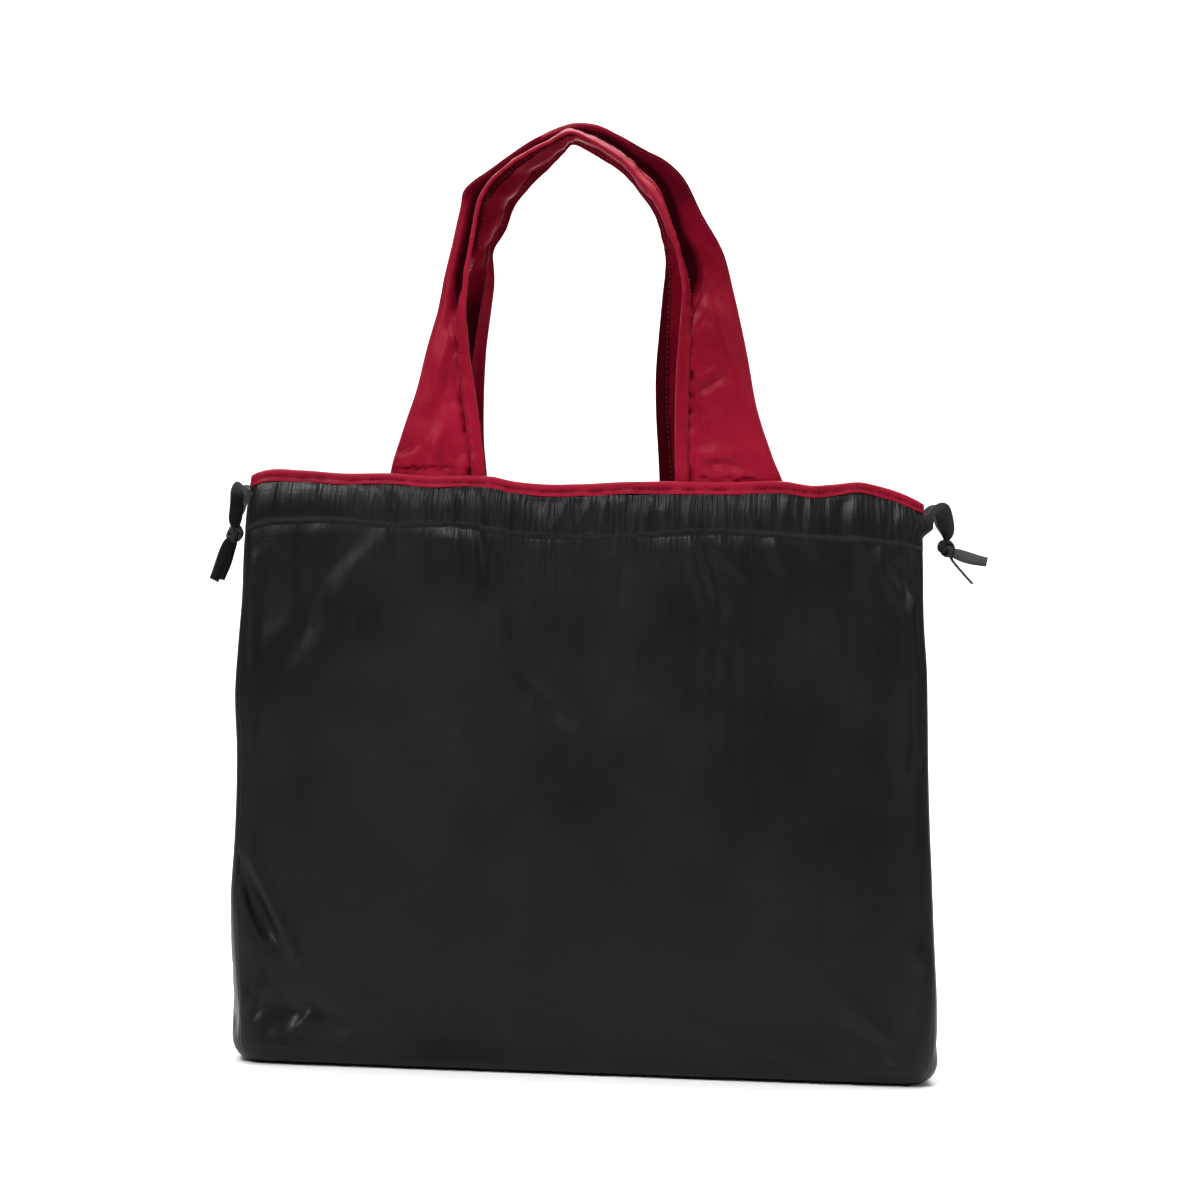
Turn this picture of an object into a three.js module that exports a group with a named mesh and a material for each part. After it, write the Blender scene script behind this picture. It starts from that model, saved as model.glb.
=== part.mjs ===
// Foldable tote bag: a soft box of thin black cloth with a drawcord channel round its mouth,
// a red bound edge, two red cloth handles, and flat cords knotted together at both ends.
// Millimetres, +Z up, the front of the bag towards -Y, the origin on the floor under its middle.
import * as THREE from "three";

// ---- Driving dimensions ----
const BODY_HEIGHT = 349; // the cut edge of the cloth under the binding
const BASE_WIDTH = 420;
const BASE_DEPTH = 100;
const BASE_CORNER_RADIUS = 14;
const MOUTH_WIDTH = 403;
const MOUTH_DEPTH = 62;
const CROWN = 5; // how far the front and back swell between their seams
const BASE_SHIFT = 3.5; // the soft body stands a little over: its middle at the base
const MOUTH_SHIFT = -8; // and at the mouth

const CLOTH = 1; // thickness of every cloth solid
const SEW_GAP = 0.3; // between pieces that are sewn face to face
const BASE_THICKNESS = 2;
const SEAM_TAPE_WIDTH = 8;

const CHANNEL_HEIGHT = 32; // from the cut edge down to its line of stitches
const CORD_WIDTH = 10;
const CORD_THICKNESS = 0.9;
const CORD_SLIT = 5; // room at each end of a channel for the cord to come out
const FACING_ENDS = [0.04, 0.96]; // where the channel's inner strip starts and stops
const CORD_DROP = 19; // from the cut edge to the middle of the cord in its channel
const CORD_HEIGHT = BODY_HEIGHT - CORD_DROP;
const CORD_END_SPLIT = 0.6; // between the left and right halves of a cord

const BINDING_LEG = 7.5;
const BINDING_THICKNESS = 0.9;
const HANDLE_THICKNESS = 1.4;
const HANDLE_HEM_WIDTH = 8;
const HANDLE_BASE_HEIGHT = BODY_HEIGHT + 3.5;
const STRAP_END_TOP = BODY_HEIGHT - BINDING_LEG - 1;
const STRAP_END_HEIGHT = 26;
const KNOT = { x: 5.5, y: 6, z: 6.5 }; // half sizes

const FRONT = -1;
const BACK = 1;
const LEFT = -1;
const RIGHT = 1;

// Stations along a handle, from its left foot to its right foot: the place of its middle across
// and up, its width, and how many degrees its outer edge turns in towards the other handle.
const FRONT_HANDLE = [
  { x: -100, z: HANDLE_BASE_HEIGHT, width: 56, turn: 0 },
  { x: -100, z: HANDLE_BASE_HEIGHT + 10, width: 54, turn: 2 },
  { x: -97.5, z: 400, width: 44, turn: 28 },
  { x: -94.5, z: 460, width: 34, turn: 52 },
  { x: -87.5, z: 512, width: 29, turn: 60 },
  { x: -62.5, z: 546, width: 27, turn: 62 },
  { x: -25.5, z: 562, width: 26, turn: 62 },
  { x: 11.5, z: 552, width: 28, turn: 58 },
  { x: 41.5, z: 524, width: 31, turn: 42 },
  { x: 58.5, z: 488, width: 35, turn: 20 },
  { x: 66.5, z: 436, width: 41, turn: 5 },
  { x: 77.5, z: HANDLE_BASE_HEIGHT + 10, width: 57, turn: 0 },
  { x: 77.5, z: HANDLE_BASE_HEIGHT, width: 58, turn: 0 },
];
const BACK_HANDLE = [
  { x: -100, z: HANDLE_BASE_HEIGHT, width: 56, turn: 0 },
  { x: -100, z: HANDLE_BASE_HEIGHT + 10, width: 54, turn: 2 },
  { x: -95.5, z: 400, width: 42, turn: 8 },
  { x: -89.5, z: 460, width: 34, turn: 18 },
  { x: -82.5, z: 502, width: 29, turn: 40 },
  { x: -60.5, z: 538, width: 27, turn: 56 },
  { x: -25.5, z: 562, width: 26, turn: 62 },
  { x: 7.5, z: 552, width: 27, turn: 55 },
  { x: 34.5, z: 522, width: 29, turn: 38 },
  { x: 50.5, z: 488, width: 33, turn: 20 },
  { x: 56.5, z: 436, width: 41, turn: 6 },
  { x: 65.5, z: HANDLE_BASE_HEIGHT + 10, width: 56, turn: 0 },
  { x: 65.5, z: HANDLE_BASE_HEIGHT, width: 57, turn: 0 },
];
const HANDLE_STEPS = 36;
const HANDLE_TOP = 562;
const HANDLE_TOP_INSET = 13; // the middle of a handle at its top, from the plane between the two

// The hanging ends of the cords, drawn for the front cord: the back one mirrors it.
const LEFT_HANG = {
  exit: [-212, 336],
  hang: [
    [-216.2, -25, 342.5],
    [-219, -17, 340.5],
    [-221.5, -8.5, 328],
  ],
  knot: [-222.5, 0, 315.5],
  tails: [
    {
      across: [1, 0.3, -0.3],
      points: [
        [-227, -3.5, 306],
        [-230, -5, 296.5],
        [-233.5, -6, 287],
      ],
    },
    {
      across: [1, 0.3, -0.3],
      points: [
        [-225.5, 3.5, 306],
        [-228, 5, 296.5],
        [-231, 6, 287.5],
      ],
    },
  ],
};
const RIGHT_HANG = {
  exit: [196, 336],
  hang: [
    [200.2, -24.5, 344],
    [204.5, -16.5, 345.5],
    [209, -7.5, 335],
  ],
  knot: [210.5, 0, 322.5],
  tails: [
    {
      across: [0.2, 0.7, 0.7],
      points: [
        [217.5, -2.5, 319],
        [226, -4, 316.5],
        [234.5, -5, 315],
      ],
    },
    {
      across: [0, 1, 0],
      points: [
        [215, 4, 315],
        [221, 5.5, 308.5],
        [227.5, 6.5, 302],
      ],
    },
  ],
};

// ---- Materials ----
const black = () =>
  new THREE.MeshStandardMaterial({ color: 0x232325, roughness: 0.55, metalness: 0 });
const lining = () =>
  new THREE.MeshStandardMaterial({ color: 0x1d1d1f, roughness: 0.6, metalness: 0 });
const red = () =>
  new THREE.MeshStandardMaterial({ color: 0xa5203a, roughness: 0.45, metalness: 0 });
const webbing = () =>
  new THREE.MeshStandardMaterial({ color: 0x2e2e32, roughness: 0.8, metalness: 0 });

// ---- Shape of the body ----
// Six times the volume inside a mesh, negative when its faces point in.
function signedVolume(points, faces) {
  const corner = (k) => new THREE.Vector3().fromArray(points, 3 * faces[k]);
  let sum = 0;
  for (let k = 0; k < faces.length; k += 3) {
    sum += corner(k).dot(corner(k + 1).cross(corner(k + 2)));
  }
  return sum;
}

// A sheet of even thickness round middle(u, v), with u and v from 0 to 1, closed along its edges.
function sheet(middle, across, along, thickness) {
  const step = 1e-3;
  const facing = (u, v) => {
    const right = middle(Math.min(u + step, 1), v).sub(middle(Math.max(u - step, 0), v));
    const up = middle(u, Math.min(v + step, 1)).sub(middle(u, Math.max(v - step, 0)));
    return right.cross(up).normalize();
  };
  const points = [];
  for (const side of [0.5, -0.5]) {
    for (let j = 0; j <= along; j++) {
      for (let i = 0; i <= across; i++) {
        const u = i / across;
        const v = j / along;
        const p = middle(u, v).addScaledVector(facing(u, v), side * thickness);
        points.push(p.x, p.y, p.z);
      }
    }
  }
  const row = across + 1;
  const under = row * (along + 1);
  const faces = [];
  const quad = (a, b, c, d) => faces.push(a, b, c, a, c, d);
  for (let j = 0; j < along; j++) {
    for (let i = 0; i < across; i++) {
      const a = j * row + i;
      quad(a, a + 1, a + 1 + row, a + row);
      quad(under + a, under + a + row, under + a + 1 + row, under + a + 1);
    }
  }
  const edge = [];
  for (let i = 0; i < across; i++) edge.push(i);
  for (let j = 0; j < along; j++) edge.push(j * row + across);
  for (let i = across; i > 0; i--) edge.push(along * row + i);
  for (let j = along; j > 0; j--) edge.push(j * row);
  edge.forEach((a, k) => {
    const b = edge[(k + 1) % edge.length];
    quad(b, a, under + a, under + b);
  });
  if (signedVolume(points, faces) < 0) faces.reverse();
  const geometry = new THREE.BufferGeometry();
  geometry.setAttribute("position", new THREE.Float32BufferAttribute(points, 3));
  geometry.setIndex(faces);
  geometry.computeVertexNormals();
  return geometry;
}

const mix = THREE.MathUtils.lerp;
const middleX = (z) => mix(MOUTH_SHIFT, BASE_SHIFT, (1 - z / BODY_HEIGHT) ** 2);
const halfWidth = (z) => mix(BASE_WIDTH, MOUTH_WIDTH, (z / BODY_HEIGHT) ** 2) / 2;
const halfDepth = (z) => mix(BASE_DEPTH, MOUTH_DEPTH, (z / BODY_HEIGHT) ** 2) / 2;

// A point of the front or back wall, inset from its outer face.
function wallPoint(side, x, z, inset) {
  const across = (x - middleX(z)) / halfWidth(z);
  const up = Math.min(z / (BODY_HEIGHT - CHANNEL_HEIGHT), 1);
  const swell = CROWN * Math.max(0, 1 - across * across) * Math.sin(Math.PI * up);
  return new THREE.Vector3(x, side * (halfDepth(z) + swell - inset), z);
}

// A sheet that lies on the front or back wall, between two heights, inset from the outer face.
function wallSheet(side, low, high, insetAt, across, along, ends = [0, 1]) {
  return sheet(
    (u, v) => {
      const z = mix(low, high, v);
      const t = mix(ends[0], ends[1], u);
      const x = middleX(z) + (2 * t - 1) * halfWidth(z);
      return wallPoint(side, x, z, insetAt(v));
    },
    across,
    along,
    CLOTH,
  );
}

const PANEL_FOOT = BASE_THICKNESS + SEW_GAP;
const panel = (side) =>
  wallSheet(side, PANEL_FOOT, BODY_HEIGHT, () => CLOTH / 2, 8, 11);

// The end wall. Above the foot of the channel it is narrower, so that the cords can come out.
function gusset(side) {
  const edgeInset = CLOTH + SEW_GAP;
  const slitFoot = BODY_HEIGHT - CHANNEL_HEIGHT - 8;
  return sheet(
    (u, v) => {
      const z = mix(PANEL_FOOT, BODY_HEIGHT, v);
      const slit = CORD_SLIT * THREE.MathUtils.smoothstep(z, slitFoot, slitFoot + 8);
      const half = halfDepth(z) - edgeInset - slit;
      const x = middleX(z) + side * (halfWidth(z) - CLOTH / 2);
      return new THREE.Vector3(x, (2 * u - 1) * half, z);
    },
    2,
    24,
    CLOTH,
  );
}

function basePanel() {
  const outline = new THREE.Shape();
  const r = BASE_CORNER_RADIUS;
  const w = BASE_WIDTH / 2;
  const d = BASE_DEPTH / 2;
  outline.moveTo(r - w, -d);
  outline.absarc(w - r, r - d, r, -Math.PI / 2, 0);
  outline.absarc(w - r, d - r, r, 0, Math.PI / 2);
  outline.absarc(r - w, d - r, r, Math.PI / 2, Math.PI);
  outline.absarc(r - w, r - d, r, Math.PI, 1.5 * Math.PI);
  const geometry = new THREE.ExtrudeGeometry(outline, {
    depth: BASE_THICKNESS,
    bevelEnabled: false,
    curveSegments: 6,
  });
  return geometry.translate(BASE_SHIFT, 0, 0);
}

// The bound seam allowance round the base, lying flat inside it.
function baseSeamTape() {
  const inset = CLOTH + SEW_GAP + 0.7;
  const rectangle = (shape, w, d) => {
    shape.moveTo(-w, -d);
    shape.lineTo(w, -d);
    shape.lineTo(w, d);
    shape.lineTo(-w, d);
    shape.closePath();
    return shape;
  };
  const w = BASE_WIDTH / 2 - inset;
  const d = BASE_DEPTH / 2 - inset;
  const ring = rectangle(new THREE.Shape(), w, d);
  ring.holes.push(
    rectangle(new THREE.Path(), w - SEAM_TAPE_WIDTH, d - SEAM_TAPE_WIDTH),
  );
  const geometry = new THREE.ExtrudeGeometry(ring, { depth: CLOTH, bevelEnabled: false });
  return geometry.translate(BASE_SHIFT, 0, BASE_THICKNESS + SEW_GAP);
}

// The bound seam allowance up an inside corner, lying on the end wall.
function cornerSeamTape(side, end) {
  const low = BASE_THICKNESS + SEW_GAP + CLOTH + 1;
  const high = BODY_HEIGHT - CHANNEL_HEIGHT - 12;
  return sheet(
    (u, v) => {
      const z = mix(low, high, v);
      const edge = halfDepth(z) - CLOTH - SEW_GAP - 0.5;
      const y = side * (edge - SEAM_TAPE_WIDTH * u);
      const x = middleX(z) + end * (halfWidth(z) - 1.5 * CLOTH - SEW_GAP);
      return new THREE.Vector3(x, y, z);
    },
    2,
    8,
    CLOTH,
  );
}

// ---- Drawcord channel and bound edge ----
// The strip that makes the channel with the wall: it meets the wall at its top and its foot,
// and stands off it between them to leave room for the cord.
function channelFacing(side) {
  const sewn = 1.5 * CLOTH + SEW_GAP;
  const open = sewn + CORD_THICKNESS + 4 * SEW_GAP;
  const { smoothstep } = THREE.MathUtils;
  const inset = (v) => {
    const room = smoothstep(v, 0.08, 0.16) * (1 - smoothstep(v, 0.65, 0.73));
    return mix(sewn, open, room);
  };
  const top = BODY_HEIGHT;
  return wallSheet(side, top - CHANNEL_HEIGHT, top, inset, 4, 16, FACING_ENDS);
}

// How a folded tape goes round an edge: the place across the edge and along the cloth.
function foldedTape(u, halfSpan, leg) {
  if (u <= 0.4) return { across: halfSpan, down: leg * (1 - u / 0.4) };
  if (u >= 0.6) return { across: -halfSpan, down: (leg * (u - 0.6)) / 0.4 };
  return { across: mix(halfSpan, -halfSpan, (u - 0.4) / 0.2), down: 0 };
}

const TAPE_STANDOFF = SEW_GAP + BINDING_THICKNESS / 2;
const WALL_LAYERS = 2 * CLOTH + SEW_GAP; // the wall and the facing at the cut edge
const BINDING_TOP = BODY_HEIGHT + TAPE_STANDOFF;

function mouthBinding(side) {
  const halfSpan = WALL_LAYERS / 2 + TAPE_STANDOFF;
  return sheet(
    (u, v) => {
      const fold = foldedTape(u, halfSpan, BINDING_LEG);
      const z = BINDING_TOP - fold.down;
      const level = Math.min(z, BODY_HEIGHT);
      const x = middleX(level) + (2 * v - 1) * halfWidth(level);
      return wallPoint(side, x, level, WALL_LAYERS / 2 - fold.across).setZ(z);
    },
    5,
    8,
    BINDING_THICKNESS,
  );
}

function gussetBinding(side) {
  const halfSpan = CLOTH / 2 + TAPE_STANDOFF;
  const half = halfDepth(BODY_HEIGHT) - CLOTH - SEW_GAP - CORD_SLIT;
  return sheet(
    (u, v) => {
      const fold = foldedTape(u, halfSpan, BINDING_LEG);
      const z = BINDING_TOP - fold.down;
      const level = Math.min(z, BODY_HEIGHT);
      const x = middleX(level) + side * (halfWidth(level) - CLOTH / 2 + fold.across);
      return new THREE.Vector3(x, (2 * v - 1) * half, z);
    },
    5,
    4,
    BINDING_THICKNESS,
  );
}

// ---- Handles ----
const INNER_FACE = WALL_LAYERS + 2 * SEW_GAP + BINDING_THICKNESS;
const STRAP_INSET = INNER_FACE + HANDLE_THICKNESS / 2;
const HANDLE_FOOT_Y = wallPoint(BACK, FRONT_HANDLE[0].x, BODY_HEIGHT, STRAP_INSET).y;

// A handle's middle line, the way across it and the way it faces, at t from 0 to 1.
function handleFrame(side, stations) {
  const inset = (z) => {
    const rise = (z - HANDLE_BASE_HEIGHT) / (HANDLE_TOP - HANDLE_BASE_HEIGHT);
    return mix(HANDLE_FOOT_Y, HANDLE_TOP_INSET, rise);
  };
  const line = new THREE.CatmullRomCurve3(
    stations.map((s) => new THREE.Vector3(s.x, side * inset(s.z), s.z)),
  );
  const form = new THREE.CatmullRomCurve3(
    stations.map((s) => new THREE.Vector3(s.width, s.turn, 0)),
  );
  return (t) => {
    const middle = line.getPoint(t);
    const { x: width, y: turn } = form.getPoint(t);
    const ahead = line.getTangent(t);
    const outward = new THREE.Vector3(-ahead.z, 0, ahead.x).normalize();
    const angle = THREE.MathUtils.degToRad(turn);
    const across = outward
      .multiplyScalar(Math.cos(angle))
      .add(new THREE.Vector3(0, -side * Math.sin(angle), 0));
    const facing = new THREE.Vector3().crossVectors(across, ahead).normalize();
    if (facing.y * side < 0) facing.negate();
    return { middle, across, facing, width };
  };
}

function handle(side, stations) {
  const frameAt = handleFrame(side, stations);
  return sheet(
    (u, v) => {
      const { middle, across, width } = frameAt(v);
      return middle.addScaledVector(across, (u - 0.5) * width);
    },
    3,
    HANDLE_STEPS,
    HANDLE_THICKNESS,
  );
}

// The bound band along a handle's inner edge, on its outer face.
function handleHem(side, stations) {
  const frameAt = handleFrame(side, stations);
  const standoff = HANDLE_THICKNESS / 2 + SEW_GAP + BINDING_THICKNESS / 2;
  return sheet(
    (u, v) => {
      const { middle, across, facing, width } = frameAt(v);
      const place = HANDLE_HEM_WIDTH * u - width / 2;
      return middle.addScaledVector(across, place).addScaledVector(facing, standoff);
    },
    1,
    HANDLE_STEPS,
    BINDING_THICKNESS,
  );
}

// The end of a handle that is sewn in, flat against the inside of the channel.
function strapEnd(side, station) {
  const top = STRAP_END_TOP;
  const inset = 2.5 * CLOTH + 7 * SEW_GAP + CORD_THICKNESS;
  return sheet(
    (u, v) => {
      const z = mix(top - STRAP_END_HEIGHT, top, v);
      const x = station.x + (u - 0.5) * station.width;
      return wallPoint(side, x, z, inset);
    },
    2,
    2,
    CLOTH,
  );
}

// ---- Cords ----
// A flat tape along a list of points. Its width lies along startAcross, and turns to endAcross
// over the part of it past turnFrom.
function tape(points, startAcross, endAcross, turnFrom, steps) {
  const line = new THREE.CatmullRomCurve3(points);
  return sheet(
    (u, v) => {
      const ahead = line.getTangent(v);
      const turned = THREE.MathUtils.smoothstep(v, turnFrom, 1);
      const across = startAcross.clone().lerp(endAcross, turned);
      across.addScaledVector(ahead, -across.dot(ahead)).normalize();
      return line.getPoint(v).addScaledVector(across, (u - 0.5) * CORD_WIDTH);
    },
    1,
    steps,
    CORD_THICKNESS,
  );
}

const mirrored = (side, [x, y, z]) => new THREE.Vector3(x, side === FRONT ? y : -y, z);

// Where a cord stops short of the middle of its knot.
function beside(knot, next, distance) {
  return knot.clone().lerp(next, distance / knot.distanceTo(next));
}

// One cord's half, from the middle of its channel out of the slit and down to the knot.
function cordHalf(side, end, hanging) {
  const inset = CLOTH + 2.5 * SEW_GAP + CORD_THICKNESS / 2;
  const points = [];
  const start = middleX(CORD_HEIGHT) + (end * CORD_END_SPLIT) / 2;
  const [exitX, exitZ] = hanging.exit;
  for (const t of [0, 0.25, 0.5, 0.75, 0.92]) {
    points.push(wallPoint(side, mix(start, exitX, t), CORD_HEIGHT, inset));
  }
  points.push(wallPoint(side, exitX, exitZ, inset + 2 * SEW_GAP));
  const hang = hanging.hang.map((p) => mirrored(side, p));
  const knot = new THREE.Vector3(...hanging.knot);
  points.push(...hang);
  points.push(beside(knot, hang.at(-1), KNOT.y + 1.2));
  const upTheWall = wallPoint(side, exitX, exitZ, 0).sub(wallPoint(side, exitX, exitZ - 5, 0));
  const downwards = new THREE.Vector3(end, side * 0.6, 0.6);
  return tape(points, upTheWall.normalize(), downwards, 5 / 9, 36);
}

function cordTail(hanging, index) {
  const knot = new THREE.Vector3(...hanging.knot);
  const tail = hanging.tails[index];
  const points = tail.points.map((p) => new THREE.Vector3(...p));
  const start = beside(knot, points[0], KNOT.z + 1);
  const across = new THREE.Vector3(...tail.across);
  return tape([start, ...points.slice(1)], across, across, 0, 8);
}

function knot(hanging) {
  const geometry = new THREE.SphereGeometry(1, 12, 8);
  geometry.scale(KNOT.x, KNOT.y, KNOT.z);
  return geometry.translate(...hanging.knot);
}

// ---- Assembly ----
const bag = new THREE.Group();

function add(name, geometry, material) {
  const mesh = new THREE.Mesh(geometry, material);
  mesh.name = name;
  bag.add(mesh);
}

add("base_panel", basePanel(), black());
add("base_seam_tape", baseSeamTape(), lining());

for (const [end, endName] of [
  [LEFT, "left"],
  [RIGHT, "right"],
]) {
  add(`${endName}_gusset`, gusset(end), black());
  add(`${endName}_binding`, gussetBinding(end), red());
  const hanging = end === LEFT ? LEFT_HANG : RIGHT_HANG;
  add(`${endName}_knot`, knot(hanging), webbing());
  for (const [side, sideName] of [
    [FRONT, "front"],
    [BACK, "back"],
  ]) {
    const corner = `${sideName}_${endName}`;
    add(`${corner}_seam_tape`, cornerSeamTape(side, end), lining());
    add(`${corner}_cord`, cordHalf(side, end, hanging), webbing());
    add(`${corner}_tail`, cordTail(hanging, side === FRONT ? 0 : 1), webbing());
  }
}

for (const [side, sideName, stations] of [
  [FRONT, "front", FRONT_HANDLE],
  [BACK, "back", BACK_HANDLE],
]) {
  add(`${sideName}_panel`, panel(side), black());
  add(`${sideName}_channel_facing`, channelFacing(side), lining());
  add(`${sideName}_binding`, mouthBinding(side), red());
  add(`${sideName}_handle`, handle(side, stations), red());
  add(`${sideName}_handle_hem`, handleHem(side, stations), red());
  add(`${sideName}_left_strap_end`, strapEnd(side, stations[0]), red());
  add(`${sideName}_right_strap_end`, strapEnd(side, stations.at(-1)), red());
}

export default bag;
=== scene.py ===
"""A foldable tote bag: the cloth, tape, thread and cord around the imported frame.

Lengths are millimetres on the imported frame's axes, and mesh_object turns them into
metres.
"""

import math

import bpy
import numpy as np
from mathutils import Matrix, Vector


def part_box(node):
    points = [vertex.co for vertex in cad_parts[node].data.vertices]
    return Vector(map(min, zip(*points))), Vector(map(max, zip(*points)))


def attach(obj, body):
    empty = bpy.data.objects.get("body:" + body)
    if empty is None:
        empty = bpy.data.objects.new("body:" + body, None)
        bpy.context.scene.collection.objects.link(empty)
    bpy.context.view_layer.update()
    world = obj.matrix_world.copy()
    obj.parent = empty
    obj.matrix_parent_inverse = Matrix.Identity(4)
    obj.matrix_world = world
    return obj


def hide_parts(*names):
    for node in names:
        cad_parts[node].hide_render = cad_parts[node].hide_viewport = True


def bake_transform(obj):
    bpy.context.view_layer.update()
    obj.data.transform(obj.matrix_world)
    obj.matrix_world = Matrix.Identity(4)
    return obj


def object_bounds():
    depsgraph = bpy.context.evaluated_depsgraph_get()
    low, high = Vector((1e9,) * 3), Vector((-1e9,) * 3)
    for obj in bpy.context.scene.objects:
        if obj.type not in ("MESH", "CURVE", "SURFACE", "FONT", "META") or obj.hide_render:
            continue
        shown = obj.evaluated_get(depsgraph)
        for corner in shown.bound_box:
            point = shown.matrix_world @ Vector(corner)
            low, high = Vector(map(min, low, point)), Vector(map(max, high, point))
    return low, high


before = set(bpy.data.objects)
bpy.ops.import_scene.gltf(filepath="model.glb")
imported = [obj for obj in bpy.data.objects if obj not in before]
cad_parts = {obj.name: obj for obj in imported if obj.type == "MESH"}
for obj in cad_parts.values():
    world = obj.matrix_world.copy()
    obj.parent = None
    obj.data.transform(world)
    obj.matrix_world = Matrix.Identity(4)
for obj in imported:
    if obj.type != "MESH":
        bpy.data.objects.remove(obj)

CAD_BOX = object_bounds()
MM = 0.001
FRONT, RIGHT, BACK, LEFT = "front", "right", "back", "left"
OUTWARD = {FRONT: -1, BACK: 1}  # which way y runs out of the bag


# ---------------------------------------------------------------- camera
CAMERA_AIM = (0.0012, 0.283)  # what the camera looks at: x, and height over the floor
CAMERA_DISTANCE = 2.03
CAMERA_ROLL = math.radians(2.1)
CAMERA_LENS = 100


def make_camera():
    aim_x, aim_height = CAMERA_AIM
    centre = Vector((aim_x, 0, CAD_BOX[0][2] + aim_height))
    data = bpy.data.cameras.new("camera")
    data.lens, data.sensor_width = CAMERA_LENS, 36
    data.clip_start, data.clip_end = 0.05, 50
    camera = bpy.data.objects.new("camera", data)
    bpy.context.scene.collection.objects.link(camera)
    turn = Matrix.Rotation(-CAMERA_ROLL, 4, "Y") @ Matrix.Rotation(math.radians(90), 4, "X")
    place = centre + Vector((0, -CAMERA_DISTANCE, 0))
    camera.matrix_world = Matrix.Translation(place) @ turn
    bpy.context.scene.camera = camera


make_camera()


# ---------------------------------------------------------------- numbers
def curve(table, x):
    """A smooth line through the rows of a table (x, then one or more values)."""
    rows = np.array(table, float)
    xs, x = rows[:, 0], np.asarray(x, float)
    x = np.clip(x, xs[0], xs[-1])
    k = np.clip(np.searchsorted(xs, x, side="right") - 1, 0, len(xs) - 2)
    span = xs[k + 1] - xs[k]
    f = (x - xs[k]) / span
    out = []
    for ys in rows[:, 1:].T:
        slope = np.gradient(ys, xs)
        a = (1 + 2 * f) * (1 - f) ** 2 * ys[k] + f * (1 - f) ** 2 * span * slope[k]
        b = f * f * (3 - 2 * f) * ys[k + 1] + f * f * (f - 1) * span * slope[k + 1]
        out.append(a + b)
    return out[0] if len(out) == 1 else np.stack(out, -1)


def smooth(x, low, high):
    """0 up to low, 1 from high on, and an even climb between them."""
    f = np.clip((np.asarray(x, float) - low) / (high - low), 0, 1)
    return f * f * (3 - 2 * f)


def bump(x, centre, width):
    """1 at centre, falling to nothing about two widths away."""
    return np.exp(-(((np.asarray(x, float) - centre) / width) ** 2))


NOISE_GAIN = 1.7  # brings the smoothed grid back to about -1 to 1


def noise(x, y, seed):
    """Smooth noise from -1 to 1, with features about one unit across."""
    x, y = np.broadcast_arrays(np.asarray(x, float), np.asarray(y, float))
    x, y = x - x.min(), y - y.min()
    size = (int(x.max()) + 4, int(y.max()) + 4)
    grid = np.random.default_rng(seed).uniform(-1, 1, size)
    i, j = x.astype(int), y.astype(int)
    fx, fy = x - i, y - j

    def weights(f):
        return (
            (1 - f) ** 3 / 6,
            (3 * f**3 - 6 * f**2 + 4) / 6,
            (-3 * f**3 + 3 * f**2 + 3 * f + 1) / 6,
            f**3 / 6,
        )

    wx, wy = weights(fx), weights(fy)
    total = sum(wx[a] * wy[b] * grid[i + a, j + b] for a in range(4) for b in range(4))
    return total * NOISE_GAIN


def lengths(path):
    """How far along a path each of its points is."""
    return np.concatenate([[0], np.cumsum(np.linalg.norm(np.diff(path, axis=0), axis=-1))])


def spread_down(t, like):
    """One value for each row of a grid, given at all of the grid's points."""
    return np.broadcast_to(np.asarray(t, float)[:, None], like.shape)


# ---------------------------------------------------------------- meshes
def mesh_object(name, points, quads, material, uv=None, tris=None):
    """A smooth mesh from points and cloth places in millimetres."""
    mesh = bpy.data.meshes.new(name)
    points = np.asarray(points, float) * MM
    quads = np.asarray(quads, np.int32).reshape(-1, 4)
    tris = np.zeros((0, 3), np.int32) if tris is None else np.asarray(tris, np.int32)
    loops = np.concatenate([quads.ravel(), tris.ravel()])
    starts = [np.arange(len(quads)) * 4, len(quads) * 4 + np.arange(len(tris)) * 3]
    starts = np.concatenate(starts)
    mesh.vertices.add(len(points))
    mesh.vertices.foreach_set("co", points.astype(np.float32).ravel())
    mesh.loops.add(len(loops))
    mesh.loops.foreach_set("vertex_index", loops.astype(np.int32))
    mesh.polygons.add(len(starts))
    mesh.polygons.foreach_set("loop_start", starts.astype(np.int32))
    mesh.update(calc_edges=True)
    mesh.validate()
    mesh.polygons.foreach_set("use_smooth", np.ones(len(mesh.polygons), bool))
    if uv is not None:
        layer = mesh.uv_layers.new(name="cloth")
        flat = (np.asarray(uv, float) * MM)[loops]
        layer.data.foreach_set("uv", flat.astype(np.float32).ravel())
    mesh.materials.append(material)
    obj = bpy.data.objects.new(name, mesh)
    bpy.context.scene.collection.objects.link(obj)
    return obj


def unit(v):
    return v / np.maximum(np.linalg.norm(v, axis=-1, keepdims=True), 1e-12)


def grid_normals(P):
    return unit(np.cross(np.gradient(P, axis=1), np.gradient(P, axis=0)))


def grid_quads(rows, cols, first=0, flip=False, ring=False, closed=False):
    """The faces of a grid whose points start at number first. In a ring, the last
    column joins the first, and where it is closed, so do the rows."""
    r, c = np.meshgrid(np.arange(rows - (not closed)), np.arange(cols - (not ring)),
                       indexing="ij")
    up, beside, r = (r + 1) % rows * cols, (c + 1) % cols, r * cols
    quads = first + np.stack([r + c, r + beside, up + beside, up + c], -1).reshape(-1, 4)
    return quads[:, ::-1] if flip else quads


def grid_lengths(P):
    """Where each point of a grid lies on the flat cloth, in millimetres."""
    along = np.linalg.norm(np.diff(P, axis=1), axis=-1).mean(0)
    up = np.linalg.norm(np.diff(P, axis=0), axis=-1).mean(1)
    u = np.concatenate([[0], np.cumsum(along)])
    v = np.concatenate([[0], np.cumsum(up)])
    return np.stack(np.meshgrid(u, v), -1)


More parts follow.
